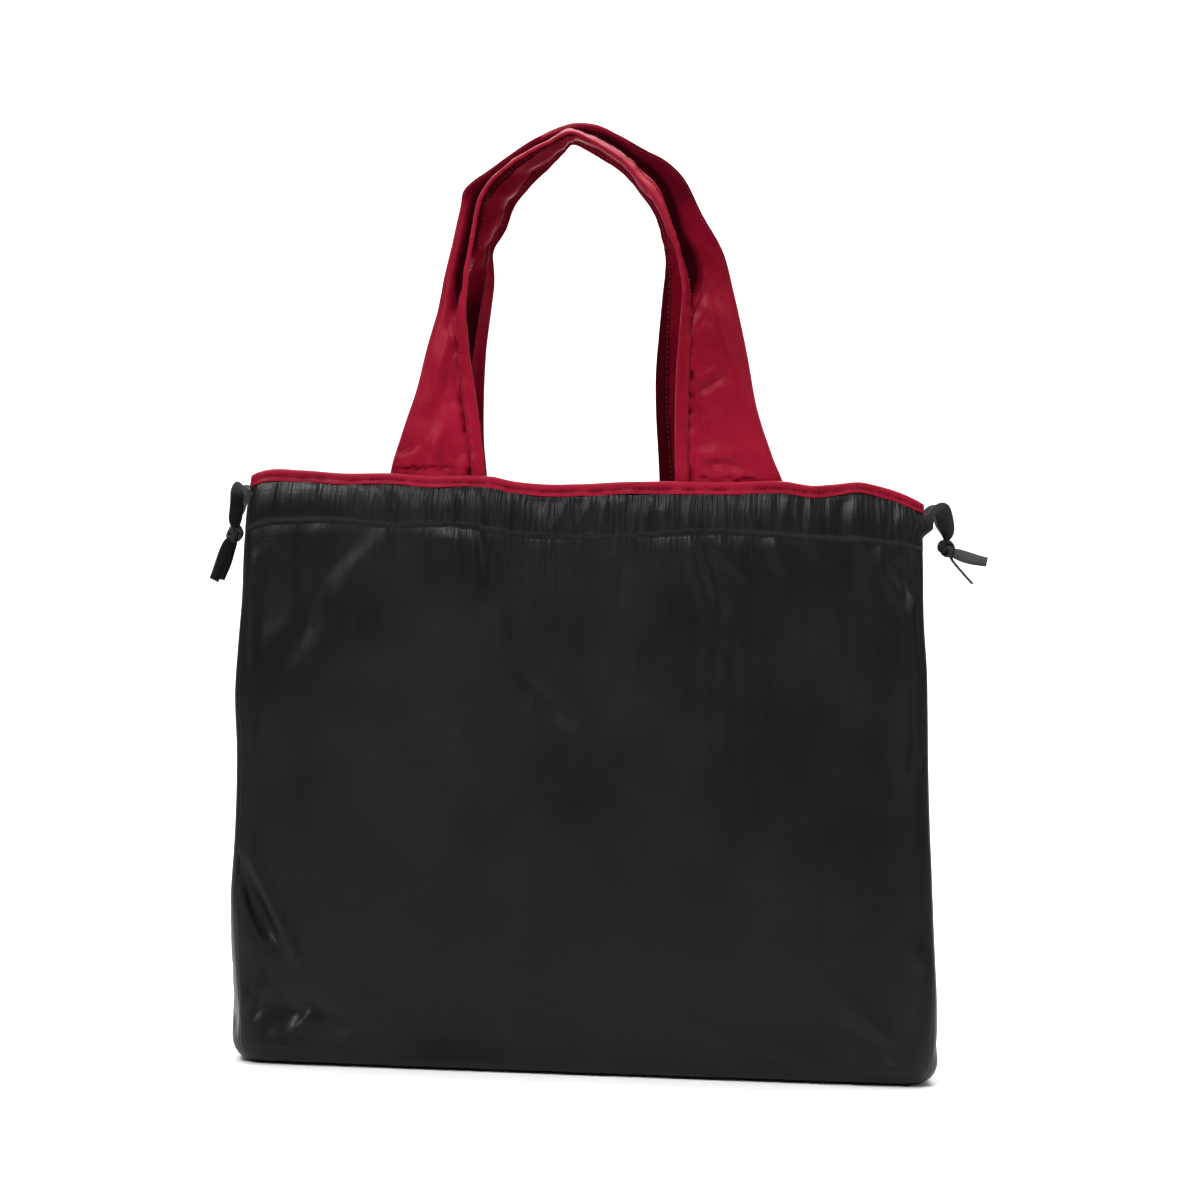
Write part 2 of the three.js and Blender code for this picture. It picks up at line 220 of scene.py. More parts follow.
def edge_loop(rows, cols):
    """The grid's outermost points, once round."""
    top = [(0, c) for c in range(cols)]
    right = [(r, cols - 1) for r in range(1, rows)]
    bottom = [(rows - 1, c) for c in range(cols - 2, -1, -1)]
    left = [(r, 0) for r in range(rows - 2, 0, -1)]
    return np.array(top + right + bottom + left)


def cloth_sheet(name, P, thickness, material, outside=0.0, inside=0.0, marks=None):
    """A closed sheet of cloth about a grid of points, rows going up and columns to the
    right as seen from its outside. outside and inside are heights added to its faces,
    and marks are an attribute's name and its values outside and inside."""
    rows, cols, _ = P.shape
    N = grid_normals(P)
    outside = np.broadcast_to(outside, (rows, cols))[..., None]
    inside = np.broadcast_to(inside, (rows, cols))[..., None]
    outer = P + N * (thickness / 2 + outside)
    inner = P - N * (thickness / 2 + inside)
    loop = edge_loop(rows, cols)
    index = loop[:, 0] * cols + loop[:, 1]
    rim = (outer + inner)[loop[:, 0], loop[:, 1]] / 2
    ahead = np.roll(rim, -1, 0) - np.roll(rim, 1, 0)
    away = unit(np.cross(ahead, N[loop[:, 0], loop[:, 1]]))
    rim = rim + away * (thickness * 0.4)
    uv = grid_lengths(P).reshape(-1, 2)
    n = rows * cols
    points = np.concatenate([outer.reshape(-1, 3), inner.reshape(-1, 3), rim])
    uvs = np.concatenate([uv, uv, uv[index]])
    k = np.arange(len(index))
    nxt = np.roll(k, -1)
    first = np.stack([index, index[nxt], 2 * n + nxt, 2 * n + k], -1)[:, ::-1]
    second = np.stack([2 * n + k, 2 * n + nxt, n + index[nxt], n + index], -1)[:, ::-1]
    faces = [grid_quads(rows, cols), grid_quads(rows, cols, n, flip=True), first, second]
    quads = np.concatenate(faces)
    sheet = mesh_object(name, points, quads, material, uvs)
    if marks is not None:
        label, face, back = marks
        face, back = np.ravel(face), np.ravel(back)
        values = np.concatenate([face, back, (face + back)[index] / 2]).astype(np.float32)
        sheet.data.attributes.new(label, "FLOAT", "POINT").data.foreach_set("value", values)
    return sheet


THREAD_JITTER = 0.12  # how unevenly stitches fall, as a share of their pitch
STITCH_RINGS, STITCH_SIDES = 6, 6


def stitches(name, path, outward, material, pitch=3.0, length=2.1, radius=0.28):
    """A row of thread stitches along a path, each one a small bead that dips at
    its ends. outward is the direction of the cloth's face along the path."""
    s = lengths(path)
    count = max(int(s[-1] // pitch), 1)
    rng = np.random.default_rng(len(name) * 97 + count)
    middles = (np.arange(count) + 0.5) * s[-1] / count
    middles = middles + rng.uniform(-THREAD_JITTER, THREAD_JITTER, count) * pitch

    def at(values, where):
        return np.stack([np.interp(where, s, values[:, k]) for k in range(3)], -1)

    ahead = unit(at(path, middles + 0.5) - at(path, middles - 0.5))
    up = at(outward, middles)
    up = unit(up - ahead * (up * ahead).sum(-1, keepdims=True))
    side = np.cross(ahead, up)
    lean = rng.uniform(-THREAD_JITTER, THREAD_JITTER, count)[:, None]
    ahead = unit(ahead + side * lean)
    t = np.linspace(-1, 1, STITCH_RINGS)[:, None, None]
    turn = (np.arange(STITCH_SIDES) / STITCH_SIDES * 2 * math.pi)[:, None]
    r = radius * np.sqrt(1 - (t * 0.93) ** 2)
    vectors = (at(path, middles), ahead, up, side)
    centre, ahead, up, side = (v[:, None, None] for v in vectors)
    points = centre + ahead * (t * length / 2) + up * radius * (0.55 - 0.9 * t * t)
    points = points + side * (r * np.cos(turn)) + up * (r * np.sin(turn))

    # one bead's faces, then the same for every bead
    quads = grid_quads(STITCH_RINGS, STITCH_SIDES, ring=True)
    last = (STITCH_RINGS - 1) * STITCH_SIDES
    tris = [t for j in range(1, STITCH_SIDES - 1)
            for t in ((0, j + 1, j), (last, last + j, last + j + 1))]
    bead = np.arange(count)[:, None, None] * STITCH_RINGS * STITCH_SIDES
    quads, tris = (quads + bead).reshape(-1, 4), (np.array(tris) + bead).reshape(-1, 3)
    return mesh_object(name, points.reshape(-1, 3), quads, material, None, tris)


def sew(name, path, outward, material, **sizes):
    """Stitches that stay with the bag."""
    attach(stitches(name, path, outward, material, **sizes), "bag")


# ---------------------------------------------------------------- materials
class Nodes:
    """A short way to add and join shader nodes."""

    def __init__(self, name):
        self.material = bpy.data.materials.new(name)
        self.material.use_nodes = True
        self.tree = self.material.node_tree
        self.shader = self.tree.nodes["Principled BSDF"]

    def add(self, kind, inputs=(), **settings):
        node = self.tree.nodes.new(kind)
        for key, value in settings.items():
            setattr(node, key, value)
        return self.feed(node, inputs)

    def feed(self, node, inputs):
        """Join each input to a socket, or set its value."""
        for key, value in dict(inputs).items():
            if isinstance(value, bpy.types.NodeSocket):
                self.tree.links.new(value, node.inputs[key])
            else:
                node.inputs[key].default_value = value
        return node

    def bump(self, strength, distance, height, **under):
        inputs = {"Strength": strength, "Distance": distance, "Height": height, **under}
        return self.add("ShaderNodeBump", inputs).outputs[0]

    def math(self, operation, a, b):
        return self.add("ShaderNodeMath", {0: a, 1: b}, operation=operation).outputs[0]

    def times(self, a, b):
        return self.math("MULTIPLY", a, b)

    def blend(self, a, b, share):
        """Share of a, and the rest of b."""
        return self.math("ADD", self.times(a, share), self.times(b, 1 - share))

    def noise(self, where, scale, detail=3.0, rough=0.55):
        inputs = {"Vector": where, "Scale": scale, "Detail": detail, "Roughness": rough}
        return self.add("ShaderNodeTexNoise", inputs).outputs[0]

    def stretch(self, where, scale):
        return self.add("ShaderNodeMapping", {"Vector": where, "Scale": scale}).outputs[0]

    def spread(self, value, low, high, out_low, out_high):
        inputs = {0: value, 1: low, 2: high, 3: out_low, 4: out_high}
        return self.add("ShaderNodeMapRange", inputs).outputs[0]

    def mix(self, factor, a, b):
        a, b = ((*c, 1) if isinstance(c, tuple) else c for c in (a, b))
        return self.add("ShaderNodeMix", {0: factor, 6: a, 7: b}, data_type="RGBA").outputs[2]

    def mark(self, name):
        """One of the mesh's own attributes."""
        return self.add("ShaderNodeAttribute", attribute_name=name).outputs["Fac"]


ACROSS_YARN, ALONG_YARN = 1400, 45  # features to the metre in a yarn's slubs
PUCKER_SCALE = (430, 34)  # the same in gathered cloth, along the rim and down the wall


def woven(
    name, base, dark, light, rough, sheen, specular, pitch=0.45, weave=0.12, crease=0.25,
    slubs=0.22, twill=False, tint=(1.0, 1.0, 1.0), gathered=False, deep=None,
):
    """Woven cloth: yarns crossing at pitch millimetres, slubs along both yarns,
    soft creases, patches of tone, rubbed edges, and painted shade in hollows. gathered
    adds fine upright puckers where the mesh's "gather" attribute is above zero, with
    painted shade in their hollows and painted highlights on their ridges, and deep is
    the colour of painted shade, laid where the mesh's shade attribute is above zero."""
    n = Nodes(name)
    cloth = n.add("ShaderNodeUVMap", uv_map="cloth").outputs[0]
    place = n.add("ShaderNodeTexCoord").outputs["Object"]
    per_metre = 1 / (pitch * MM)
    waves = []
    for direction in ("DIAGONAL" if twill else "X", "Y"):
        inputs = {"Vector": cloth, "Scale": per_metre / 20, "Distortion": 0.0}
        wave = n.add("ShaderNodeTexWave", inputs, bands_direction=direction)
        waves.append(wave.outputs["Fac"])
    yarns = n.times(waves[0], waves[1])
    warp = n.noise(n.stretch(cloth, (ACROSS_YARN, ALONG_YARN, 1)), 1.0, 2)
    weft = n.noise(n.stretch(cloth, (ALONG_YARN, ACROSS_YARN, 1)), 1.0, 2)
    slub = n.times(n.math("ADD", warp, weft), 0.5)
    patches = n.noise(place, 16, 4)
    creases = n.noise(n.stretch(place, (1.0, 1.0, 0.45)), 70, 5, 0.6)
    colour = n.mix(n.spread(patches, 0.35, 0.68, 0, 1), dark, base)
    colour = n.mix(n.spread(slub, 0.42, 0.66, 0, slubs), colour, light)
    # pointiness: lighter on sharp edges, which are rubbed (wear), and darker in hollows, which is
    # painted shade
    wear_and_hollow_shade = n.add("ShaderNodeNewGeometry").outputs["Pointiness"]
    colour = n.mix(n.spread(wear_and_hollow_shade, 0.515, 0.60, 0, 0.45), colour, light)
    colour = n.mix(n.spread(wear_and_hollow_shade, 0.485, 0.42, 0, 0.5), colour, dark)
    under = {}
    if gathered:
        amount = n.mark("gather")
        streaks = n.noise(n.stretch(cloth, (*PUCKER_SCALE, 1)), 1.0, 2, 0.5)
        # painted shade in the puckers' hollows and painted highlights on their ridges, over the
        # bump below
        hollow_shade = n.times(n.spread(streaks, 0.5, 0.36, 0, 0.75), amount)
        colour = n.mix(hollow_shade, colour, tuple(c * 0.35 for c in dark))
        ridge_highlight = n.times(n.spread(streaks, 0.5, 0.66, 0, 0.8), amount)
        colour = n.mix(ridge_highlight, colour, light)
        under = {"Normal": n.bump(1.0, 0.0016, n.times(streaks, amount))}
    height = n.blend(yarns, slub, 0.75)
    fine = n.bump(weave, 0.00025, height, **under)
    shine = n.blend(patches, slub, 0.8)
    n.feed(n.shader, {"Specular IOR Level": specular})
    if deep is not None:  # where shade is painted, the shine goes down as well as the colour
        amount = n.mark("painted_shade")
        colour = n.mix(amount, colour, deep)
        n.feed(n.shader, {"Specular IOR Level": n.spread(amount, 0, 0.5, specular, 0)})
    n.feed(n.shader, {
        "Base Color": colour, "Roughness": n.spread(shine, 0.35, 0.65, *rough),
        "Normal": n.bump(crease, 0.0012, creases, Normal=fine), "Sheen Weight": sheen,
        "Sheen Roughness": 0.4, "Sheen Tint": (*light, 1), "Specular Tint": (*tint, 1),
    })
    return n.material


def spun(name, base, light):
    """Sewing thread: plies that wind round it, with a dull shine."""
    n = Nodes(name)
    place = n.add("ShaderNodeTexCoord").outputs["Object"]
    inputs = {"Vector": place, "Scale": 900.0, "Distortion": 1.5}
    plies = n.add("ShaderNodeTexWave", inputs, bands_direction="DIAGONAL").outputs["Fac"]
    tone = n.noise(place, 260, 3)
    colour = n.mix(n.spread(tone, 0.3, 0.7, 0, 1), base, light)
    n.feed(n.shader, {
        "Base Color": colour, "Roughness": n.spread(tone, 0.3, 0.7, 0.45, 0.7),
        "Normal": n.bump(0.4, 0.0001, plies), "Sheen Weight": 0.05, "Specular IOR Level": 0.2,
    })
    return n.material


# black_nylon: gathered adds painted shade in the puckers' hollows and painted highlights on their
# ridges
BLACK = woven(
    "black_nylon", (0.0058, 0.0057, 0.0057), (0.0042, 0.0041, 0.0041), (0.0105, 0.0103, 0.0103),
    rough=(0.34, 0.48), sheen=0.012, specular=0.16, gathered=True,
)
LINING = woven(
    "coated_lining", (0.011, 0.011, 0.011), (0.007, 0.007, 0.007), (0.02, 0.02, 0.02),
    rough=(0.4, 0.55), sheen=0.02, specular=0.25, crease=0.4,
)
# red_nylon: deep is the dark red of painted shade and painted shadow on the handles
RED = woven(
    "red_nylon", (0.24, 0.0045, 0.0195), (0.15, 0.002, 0.010), (0.36, 0.011, 0.038),
    pitch=0.4, rough=(0.38, 0.52), sheen=0.03, specular=0.15, tint=(1.0, 0.35, 0.42), twill=True,
    deep=(0.016, 0.0009, 0.0020), crease=0.4,
)
# red_tape: deep is the dark red of painted shade along the binding's sewn line
RED_TAPE = woven(
    "red_tape", (0.25, 0.0045, 0.020), (0.16, 0.0025, 0.011), (0.36, 0.012, 0.038),
    pitch=0.7, rough=(0.4, 0.55), sheen=0.05, specular=0.2, tint=(1.0, 0.4, 0.45), weave=0.3,
    deep=(0.045, 0.0015, 0.0050),
)
WEBBING = woven(
    "cord_webbing", (0.0165, 0.017, 0.017), (0.009, 0.009, 0.009), (0.036, 0.037, 0.037),
    pitch=1.1, rough=(0.6, 0.8), sheen=0.06, specular=0.15, weave=0.8, slubs=0.6, twill=True,
)
SEAM_TAPE = woven(
    "seam_tape", (0.014, 0.014, 0.014), (0.009, 0.009, 0.009), (0.03, 0.03, 0.03),
    pitch=0.9, rough=(0.55, 0.7), sheen=0.1, specular=0.2, weave=0.5,
)
BLACK_THREAD = spun("black_thread", (0.0025, 0.0025, 0.0025), (0.006, 0.006, 0.006))
RED_THREAD = spun("red_thread", (0.055, 0.0015, 0.0055), (0.12, 0.004, 0.012))


def stand_for(piece, node, body="bag"):
    """A piece moves with a body, and shows in place of a CAD node."""
    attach(piece, body)
    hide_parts(node)


# ---------------------------------------------------------------- drawcords
CORD_WIDTH, CORD_THICK = 10.0, 1.0
CORD_Z, CORD_SPLIT, MOUTH_MIDDLE = 334.0, 0.6, -8.0
# The route of each front cord's free end, from the end of its channel over the side to
# the knot and on to its cut end, and the way its width lies at each point. The back
# cords leave on the other side and have tails of their own.
CORD_ROUTES = {
    LEFT: {
        "exit": (-212, -29.6, 336),
        "hang": [(-216.2, -25, 342.5), (-219, -17, 340.5), (-221.5, -8.5, 328)],
        "knot": (-222.5, 0, 315.5),
        "across": [(0, 0.1, 1), (-0.35, -0.55, 0.6), (-0.6, -0.75, 0.3), (-0.7, -0.75, 0)],
        "tails": [
            ([(-227, -3.5, 306), (-230, -5, 296.5), (-233.5, -6, 287)], (-0.62, -0.78, 0.1)),
            ([(-225.5, 3.5, 306), (-228, 5, 296.5), (-231, 6, 287.5)], (-0.5, -0.85, 0.1)),
        ],
    },
    RIGHT: {
        "exit": (196, -29.6, 336),
        "hang": [(200.2, -24.5, 344), (204.5, -16.5, 345.5), (209, -7.5, 335)],
        "knot": (210.5, 0, 322.5),
        "across": [(0, 0.1, 1), (0.1, -0.6, 0.75), (0.6, -0.5, 0.5), (0.85, -0.45, 0.15)],
        "tails": [
            ([(217.5, -2.5, 319), (226, -4, 316.5), (234.5, -5, 315)], (0.2, 0.7, 0.7)),
            ([(215, 4, 315), (221, 5.5, 308.5), (227.5, 6.5, 302)], (0, 1, 0)),
        ],
    },
}


def cord_tape(name, centre, across, knot_at=None):
    """A flat woven tape about a centreline, with rounded edges. It is drawn in where it
    enters a knot, and a little at its cut end."""
    ahead = unit(np.gradient(centre, axis=0))
    across = unit(across - ahead * (across * ahead).sum(-1, keepdims=True))
    face = np.cross(across, ahead)
    s = lengths(centre)
    half = CORD_WIDTH / 2 * (1 + 0.03 * noise(s / 9, 0, 301))
    if knot_at is not None:
        half = half * (1 - 0.68 * bump(s, knot_at, 6.5)) * (1 - 0.2 * bump(s, s[-1], 7))
    cup = 0.7 * noise(s / 14, 0, 302)
    u = np.linspace(-1, 1, 11)
    P = (centre[:, None] + across[:, None] * (u[None, :] * half[:, None])[..., None]
         + face[:, None] * ((1 - u[None, :] ** 2) * cup[:, None])[..., None])
    ribs = 0.06 * np.cos(u * 5 * math.pi)[None, :] + 0.05 * np.sin(s / 0.55)[:, None]
    thick = CORD_THICK * (0.62 + 0.38 * (1 - np.abs(u) ** 6))
    lift = (thick - CORD_THICK)[None, :] / 2 + ribs
    return cloth_sheet(name, P, CORD_THICK, WEBBING, outside=lift, inside=lift)


def free_cord(side, end):
    """The length of cord outside the channel, with the knot and its cut end."""
    route = CORD_ROUTES[end]
    flip = np.array([1, -OUTWARD[side], 1])
    tail, tail_across = route["tails"][0 if side == FRONT else 1]
    before = np.array([route["exit"], *route["hang"]]) * flip
    points = np.concatenate([before, [route["knot"]], tail])
    along = lengths(points)
    ways = [np.array(a, float) * flip for a in route["across"]]
    ways += [np.array(tail_across, float)] * (len(points) - len(ways))
    for k in range(1, len(ways)):
        if ways[k] @ ways[k - 1] < 0:
            ways[k] = -ways[k]
    s = np.linspace(0, along[-1], 90)
    centre = curve(np.column_stack([along, points]), s)
    across = unit(curve(np.column_stack([along, np.array(ways)]), s))
    return cord_tape(f"{side}_{end}_drawcord", centre, across, along[len(before)]), centre


def channel_cord(side, end):
    """The length of cord that lies in the channel."""
    exit_x, exit_y, exit_z = CORD_ROUTES[end]["exit"]
    start = MOUTH_MIDDLE + (CORD_SPLIT / 2 if end == RIGHT else -CORD_SPLIT / 2)
    x = np.linspace(start, exit_x, 100)
    f = smooth(np.abs(x), 150, 200)
    z = CORD_Z + (exit_z - CORD_Z) * f + 0.5 * noise(x / 30, 0, 311) * (1 - f)
    y = (exit_y - 0.2 * (1 - f)) * -OUTWARD[side]
    centre = np.stack([x, y, z], -1)
    across = np.tile([0.0, -0.08 * OUTWARD[side], 1.0], (len(x), 1))
    return cord_tape(f"{side}_{end}_channel_cord", centre, across)


KNOT_LEAN = {LEFT: 0.45, RIGHT: -0.75}


def knot_piece(end):
    """Both cords' overhand knot: one flat tape drawn into a tight three-lobed turn."""
    middle = np.array(CORD_ROUTES[end]["knot"], float)
    a = np.linspace(0, 2 * math.pi, 121)
    ring = (2.1 + np.cos(3 * a)) * 1.25
    centre = np.stack([ring * np.cos(2 * a), ring * np.sin(2 * a), np.sin(3 * a) * 2.2], -1)
    lean = Matrix.Rotation(KNOT_LEAN[end], 3, "Y") @ Matrix.Rotation(1.25, 3, "X")
    centre = centre * np.array([1.0, 1.35, 1.0]) @ np.array(lean).T
    ahead = unit(np.gradient(centre, axis=0))
    ahead[0] = ahead[-1] = unit(ahead[0] + ahead[-1])
    wide = unit(np.cross(ahead, centre))
    deep = np.cross(wide, ahead)
    round_it = np.linspace(0, 2 * math.pi, 17)[:-1]
    swell = 1 + 0.07 * np.sin(9 * a)
    rows = [centre + (wide * math.cos(b) * 2.7 + deep * math.sin(b) * 1.2) * swell[:, None]
            for b in round_it]
    P = np.array(rows)[:, :-1] + middle
    quads = grid_quads(*P.shape[:2], ring=True, closed=True)
    i, j = np.indices(P.shape[:2])
    uv = np.stack([j * 0.5, i * 0.8], -1).reshape(-1, 2)
    return mesh_object(f"{end}_cord_knot", P.reshape(-1, 3), quads, WEBBING, uv)


def make_cords():
    for end in (LEFT, RIGHT):
        knot = knot_piece(end)
        stand_for(knot, f"{end}_knot", f"{end}_cord")
        for side in (FRONT, BACK):
            tape, centre = free_cord(side, end)
            stand_for(tape, f"{side}_{end}_tail", f"{end}_cord")
            hidden = channel_cord(side, end)
            stand_for(hidden, f"{side}_{end}_cord", f"{end}_cord")


make_cords()


# ---------------------------------------------------------------- the bag's shell
CLOTH = 0.7  # what a wall of cloth measures here
TURN_RADIUS = 15  # how the walls turn under at the bottom
SEWN_Z, GUSSET_SEWN_Z = 317, 318  # about where the channel is sewn
BELLY = 4.5  # how far a wide wall swells at its middle
GUSSET_DIP = 2.5  # how far a gusset's edge hangs at its middle
LEG = 5.3  # the bindings' height on the wall
FLOOR = CAD_BOX[0][2] / MM
MOUTH_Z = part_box("front_panel")[1][2] / MM

# z, then the left and right ends of the bag
ENDS = [
    (0, -209.5, 213), (30, -209.3, 213), (54, -210.6, 212.3), (78, -212.2, 210.5),
    (101, -213.1, 208.6), (126, -212.2, 206.6), (150, -211.8, 204.4), (186, -212.6, 201.8),
    (222, -215.2, 199.8), (246, -214.6, 198.4), (275, -213.5, 195.6), (311, -213.6, 194),
    (335, -212.3, 192.8), (352, -210, 192),
]
HALF_DEPTH = [(0, 49.6), (60, 49), (120, 47.4), (180, 44.5), (240, 40.6), (300, 35.6), (336, 32),
              (349, 30.6), (357, 29.8)]
CORNER = [(0, 22), (40, 18), (120, 13), (220, 10), (300, 7), (350, 5)]
PINCH = [(0, 0), (25, 0), (70, 5), (140, 11), (220, 13), (290, 9), (325, 3.5), (352, 1.5)]
# x, then the heights of the mouth's edge and of the channel's stitch line
FRONT_RIM = [
    (-214, 348, 317), (-209, 350.4, 318), (-205, 351.8, 320.2), (-182, 352.9, 324),
    (-158, 352, 325.3), (-129, 353, 323.4), (-104, 352.4, 324.6), (-74, 353.4, 323.6),
    (-66, 353.2, 322.4), (-57, 351.4, 321.5), (-38, 349.9, 320.2), (-14, 350.7, 320),
    (10, 352.7, 321.2), (33, 354, 323.2), (58, 354.6, 325.6), (82, 355.4, 326.4),
    (109, 356.9, 325.6), (127, 354.9, 325), (140, 356.2, 324.8), (156, 358, 324.6),
    (166, 356.2, 323.6), (180, 352.4, 322.4), (194, 346.4, 319.5),
]
BACK_RIM = [
    (-214, 347, 318), (-200, 351, 321), (-150, 352.5, 324), (-100, 352, 323.5),
    (-55, 350, 321), (-15, 349, 320), (30, 350.5, 322), (66, 353, 324.5),
    (110, 354.5, 324.5), (150, 354, 324), (180, 350.5, 322), (194, 346, 319.5),
]
RIMS = {FRONT: FRONT_RIM, BACK: BACK_RIM}


def rounded_side(u, half, depth, radius):
    """One side of a rounded rectangle, from corner middle to corner middle: the
    place along the side and the distance out."""
    flat = 2 * (half - radius)
    arc = math.pi / 4 * radius
    s = u * (flat + 2 * arc)
    left = np.clip(1 - s / arc, 0, 1) * math.pi / 4
    right = np.clip((s - arc - flat) / arc, 0, 1) * math.pi / 4
    turn = right - left
    along = -(half - radius) + np.clip(s - arc, 0, flat) + radius * np.sin(turn)
    return along, depth - radius + radius * np.cos(turn)


def shell(side, u, t):
    """The bag's wall: u goes along one side, t from the bottom seam (0) to the
    channel's stitch line (1) and on to the mouth's edge (2)."""
    u, t = np.broadcast_arrays(np.asarray(u, float), np.asarray(t, float))
    wide = side in (FRONT, BACK)
    sign, share = (1, u) if side in (FRONT, RIGHT) else (-1, 1 - u)
    left, right = curve(ENDS, MOUTH_Z)
    if wide:
        rim = curve(RIMS[side], left + (right - left) * share)
    else:
        x = right if side == RIGHT else left
        front, back = curve(FRONT_RIM, x), curve(BACK_RIM, x)
        rim = front * (1 - share)[..., None] + back * share[..., None]
        rim = rim - (4 * share * (1 - share) * GUSSET_DIP)[..., None]
    mouth, sewn = rim[..., 0], rim[..., 1]
    radius = TURN_RADIUS
    quarter = radius * math.pi / 2
    s = np.clip(t, 0, 1) * (quarter + sewn - radius)
    psi = np.clip(s / radius, 0, math.pi / 2)
    z = radius * (1 - np.cos(psi)) + np.maximum(s - quarter, 0)
    z = z + np.clip(t - 1, 0, 1) * (mouth - sewn)
    inset = radius * (1 - np.sin(psi))
    ends = curve(ENDS, z)
    middle, half_width = ends.mean(-1), (ends[..., 1] - ends[..., 0]) / 2 - inset
    half_depth = curve(HALF_DEPTH, z) - inset
    corner = np.maximum(curve(CORNER, z) - inset, 7 - 2 * smooth(z, 280, 350))
    if wide:
        along, out = rounded_side(u, half_width, half_depth, corner)
        share = along / half_width
        out = out + BELLY * (1 - share**2) * np.sin(math.pi * np.minimum(z / SEWN_Z, 1))
        x, y = middle + sign * along, -sign * out
    else:
        along, out = rounded_side(u, half_depth, half_width, corner)
        share = np.clip(along / half_depth, -1, 1)
        out = out - curve(PINCH, z) * np.cos(share * math.pi / 2) ** 2
        x, y = middle + sign * out, sign * along
    return np.stack([x, y, z + FLOOR + CLOTH / 2], -1)


# The sides of the ring, in order, with the steps of the coarse mesh along each.
RING = ((FRONT, 72), (RIGHT, 16), (BACK, 72), (LEFT, 16))
COARSE_ROWS = np.concatenate([np.linspace(0, 1, 56), np.linspace(1, 2, 6)[1:]])


def coarse_shell():
    """The held shape that the simulation starts from."""
    rows = COARSE_ROWS[:, None]
    return np.concatenate([shell(side, np.arange(n)[None] / n, rows) for side, n in RING], 1)


SAG_FRAMES = 36
SAG_CAP = np.array([1.6, 9.0, 3.0])  # the most that a point may move, in x, y and z


def simulate(rest):
    """How far each point of the coarse ring moves as the cloth sags: the walls are
    cut a little larger than the held shape, so that they fold and hang."""
    rows, cols, _ = rest.shape
    quads = grid_quads(rows, cols, ring=True)
    obj = mesh_object("sag", rest.reshape(-1, 3), quads, BLACK)
    held = np.where(rest[..., 2] < 3, 1.0, smooth(COARSE_ROWS, 0.965, 1.0)[:, None]).ravel()
    fixed = obj.vertex_groups.new(name="held")
    for k in np.nonzero(held > 0.02)[0]:
        fixed.add([int(k)], float(held[k]), "REPLACE")
    # where the cloth has most to spare: under the gathers and at the low corners
    x, z = rest[..., 0].ravel(), rest[..., 2].ravel()
    low_corner = smooth(np.abs(x), 120, 205) * bump(z, 70, 70)
    spare = 0.35 + 0.65 * np.maximum(smooth(z, 215, 315), low_corner)
    slack = obj.vertex_groups.new(name="slack")
    for k, value in enumerate(spare):
        slack.add([k], float(value), "REPLACE")
    cloth = obj.modifiers.new("cloth", "CLOTH")
    s = cloth.settings
    s.quality, s.mass, s.air_damping = 7, 0.06, 1.5
    s.tension_stiffness = s.compression_stiffness = 12
    s.shear_stiffness, s.bending_stiffness = 4, 0.35
    s.tension_damping = s.compression_damping = 8
    s.vertex_group_mass, s.pin_stiffness = "held", 1.0
    s.shrink_min, s.shrink_max = 0.0, -0.028
    s.vertex_group_shrink = "slack"
    s.use_pressure, s.uniform_pressure_force = True, 0.06
    cloth.collision_settings.use_collision = False
    cloth.point_cache.frame_start, cloth.point_cache.frame_end = 1, SAG_FRAMES
    scene = bpy.context.scene
    scene.frame_start, scene.frame_end = 1, SAG_FRAMES
    for f in range(1, SAG_FRAMES + 1):
        scene.frame_set(f)
    depsgraph = bpy.context.evaluated_depsgraph_get()
    mesh = obj.evaluated_get(depsgraph).data
    moved = np.zeros(rows * cols * 3, np.float32)
    mesh.vertices.foreach_get("co", moved)
    scene.frame_set(1)
    bpy.data.objects.remove(obj, do_unlink=True)
    shift = moved.reshape(rows, cols, 3).astype(float) / MM - rest
    return SAG_CAP * np.tanh(shift / SAG_CAP)


COARSE = coarse_shell()
SAG = simulate(COARSE)


def cubic(values, where, wrap):
    """Catmull-Rom interpolation of values along their first axis."""
    n = len(values)
    k = np.floor(where).astype(int)
    f = (where - k)[:, None, None]
    pick = (lambda i: values[i % n]) if wrap else (lambda i: values[np.clip(i, 0, n - 1)])
    p0, p1, p2, p3 = pick(k - 1), pick(k), pick(k + 1), pick(k + 2)
    bend = 2 * p0 - 5 * p1 + 4 * p2 - p3 + f * (3 * (p1 - p2) + p3 - p0)
    return p1 + 0.5 * f * (p2 - p0 + f * bend)


def wall(side, u, t):
    """The sagged wall at every u (columns) and t (rows)."""
    u, t = np.asarray(u, float), np.asarray(t, float)
    sides = [name for name, _ in RING]
    first = sum(n for _, n in RING[:sides.index(side)])
    steps = dict(RING)[side]
    rows = np.interp(t, COARSE_ROWS, np.arange(len(COARSE_ROWS)))
    sag = cubic(SAG, rows, False)
    sag = cubic(sag.transpose(1, 0, 2), first + u * steps, True).transpose(1, 0, 2)
    return shell(side, u[None, :], t[:, None]) + sag


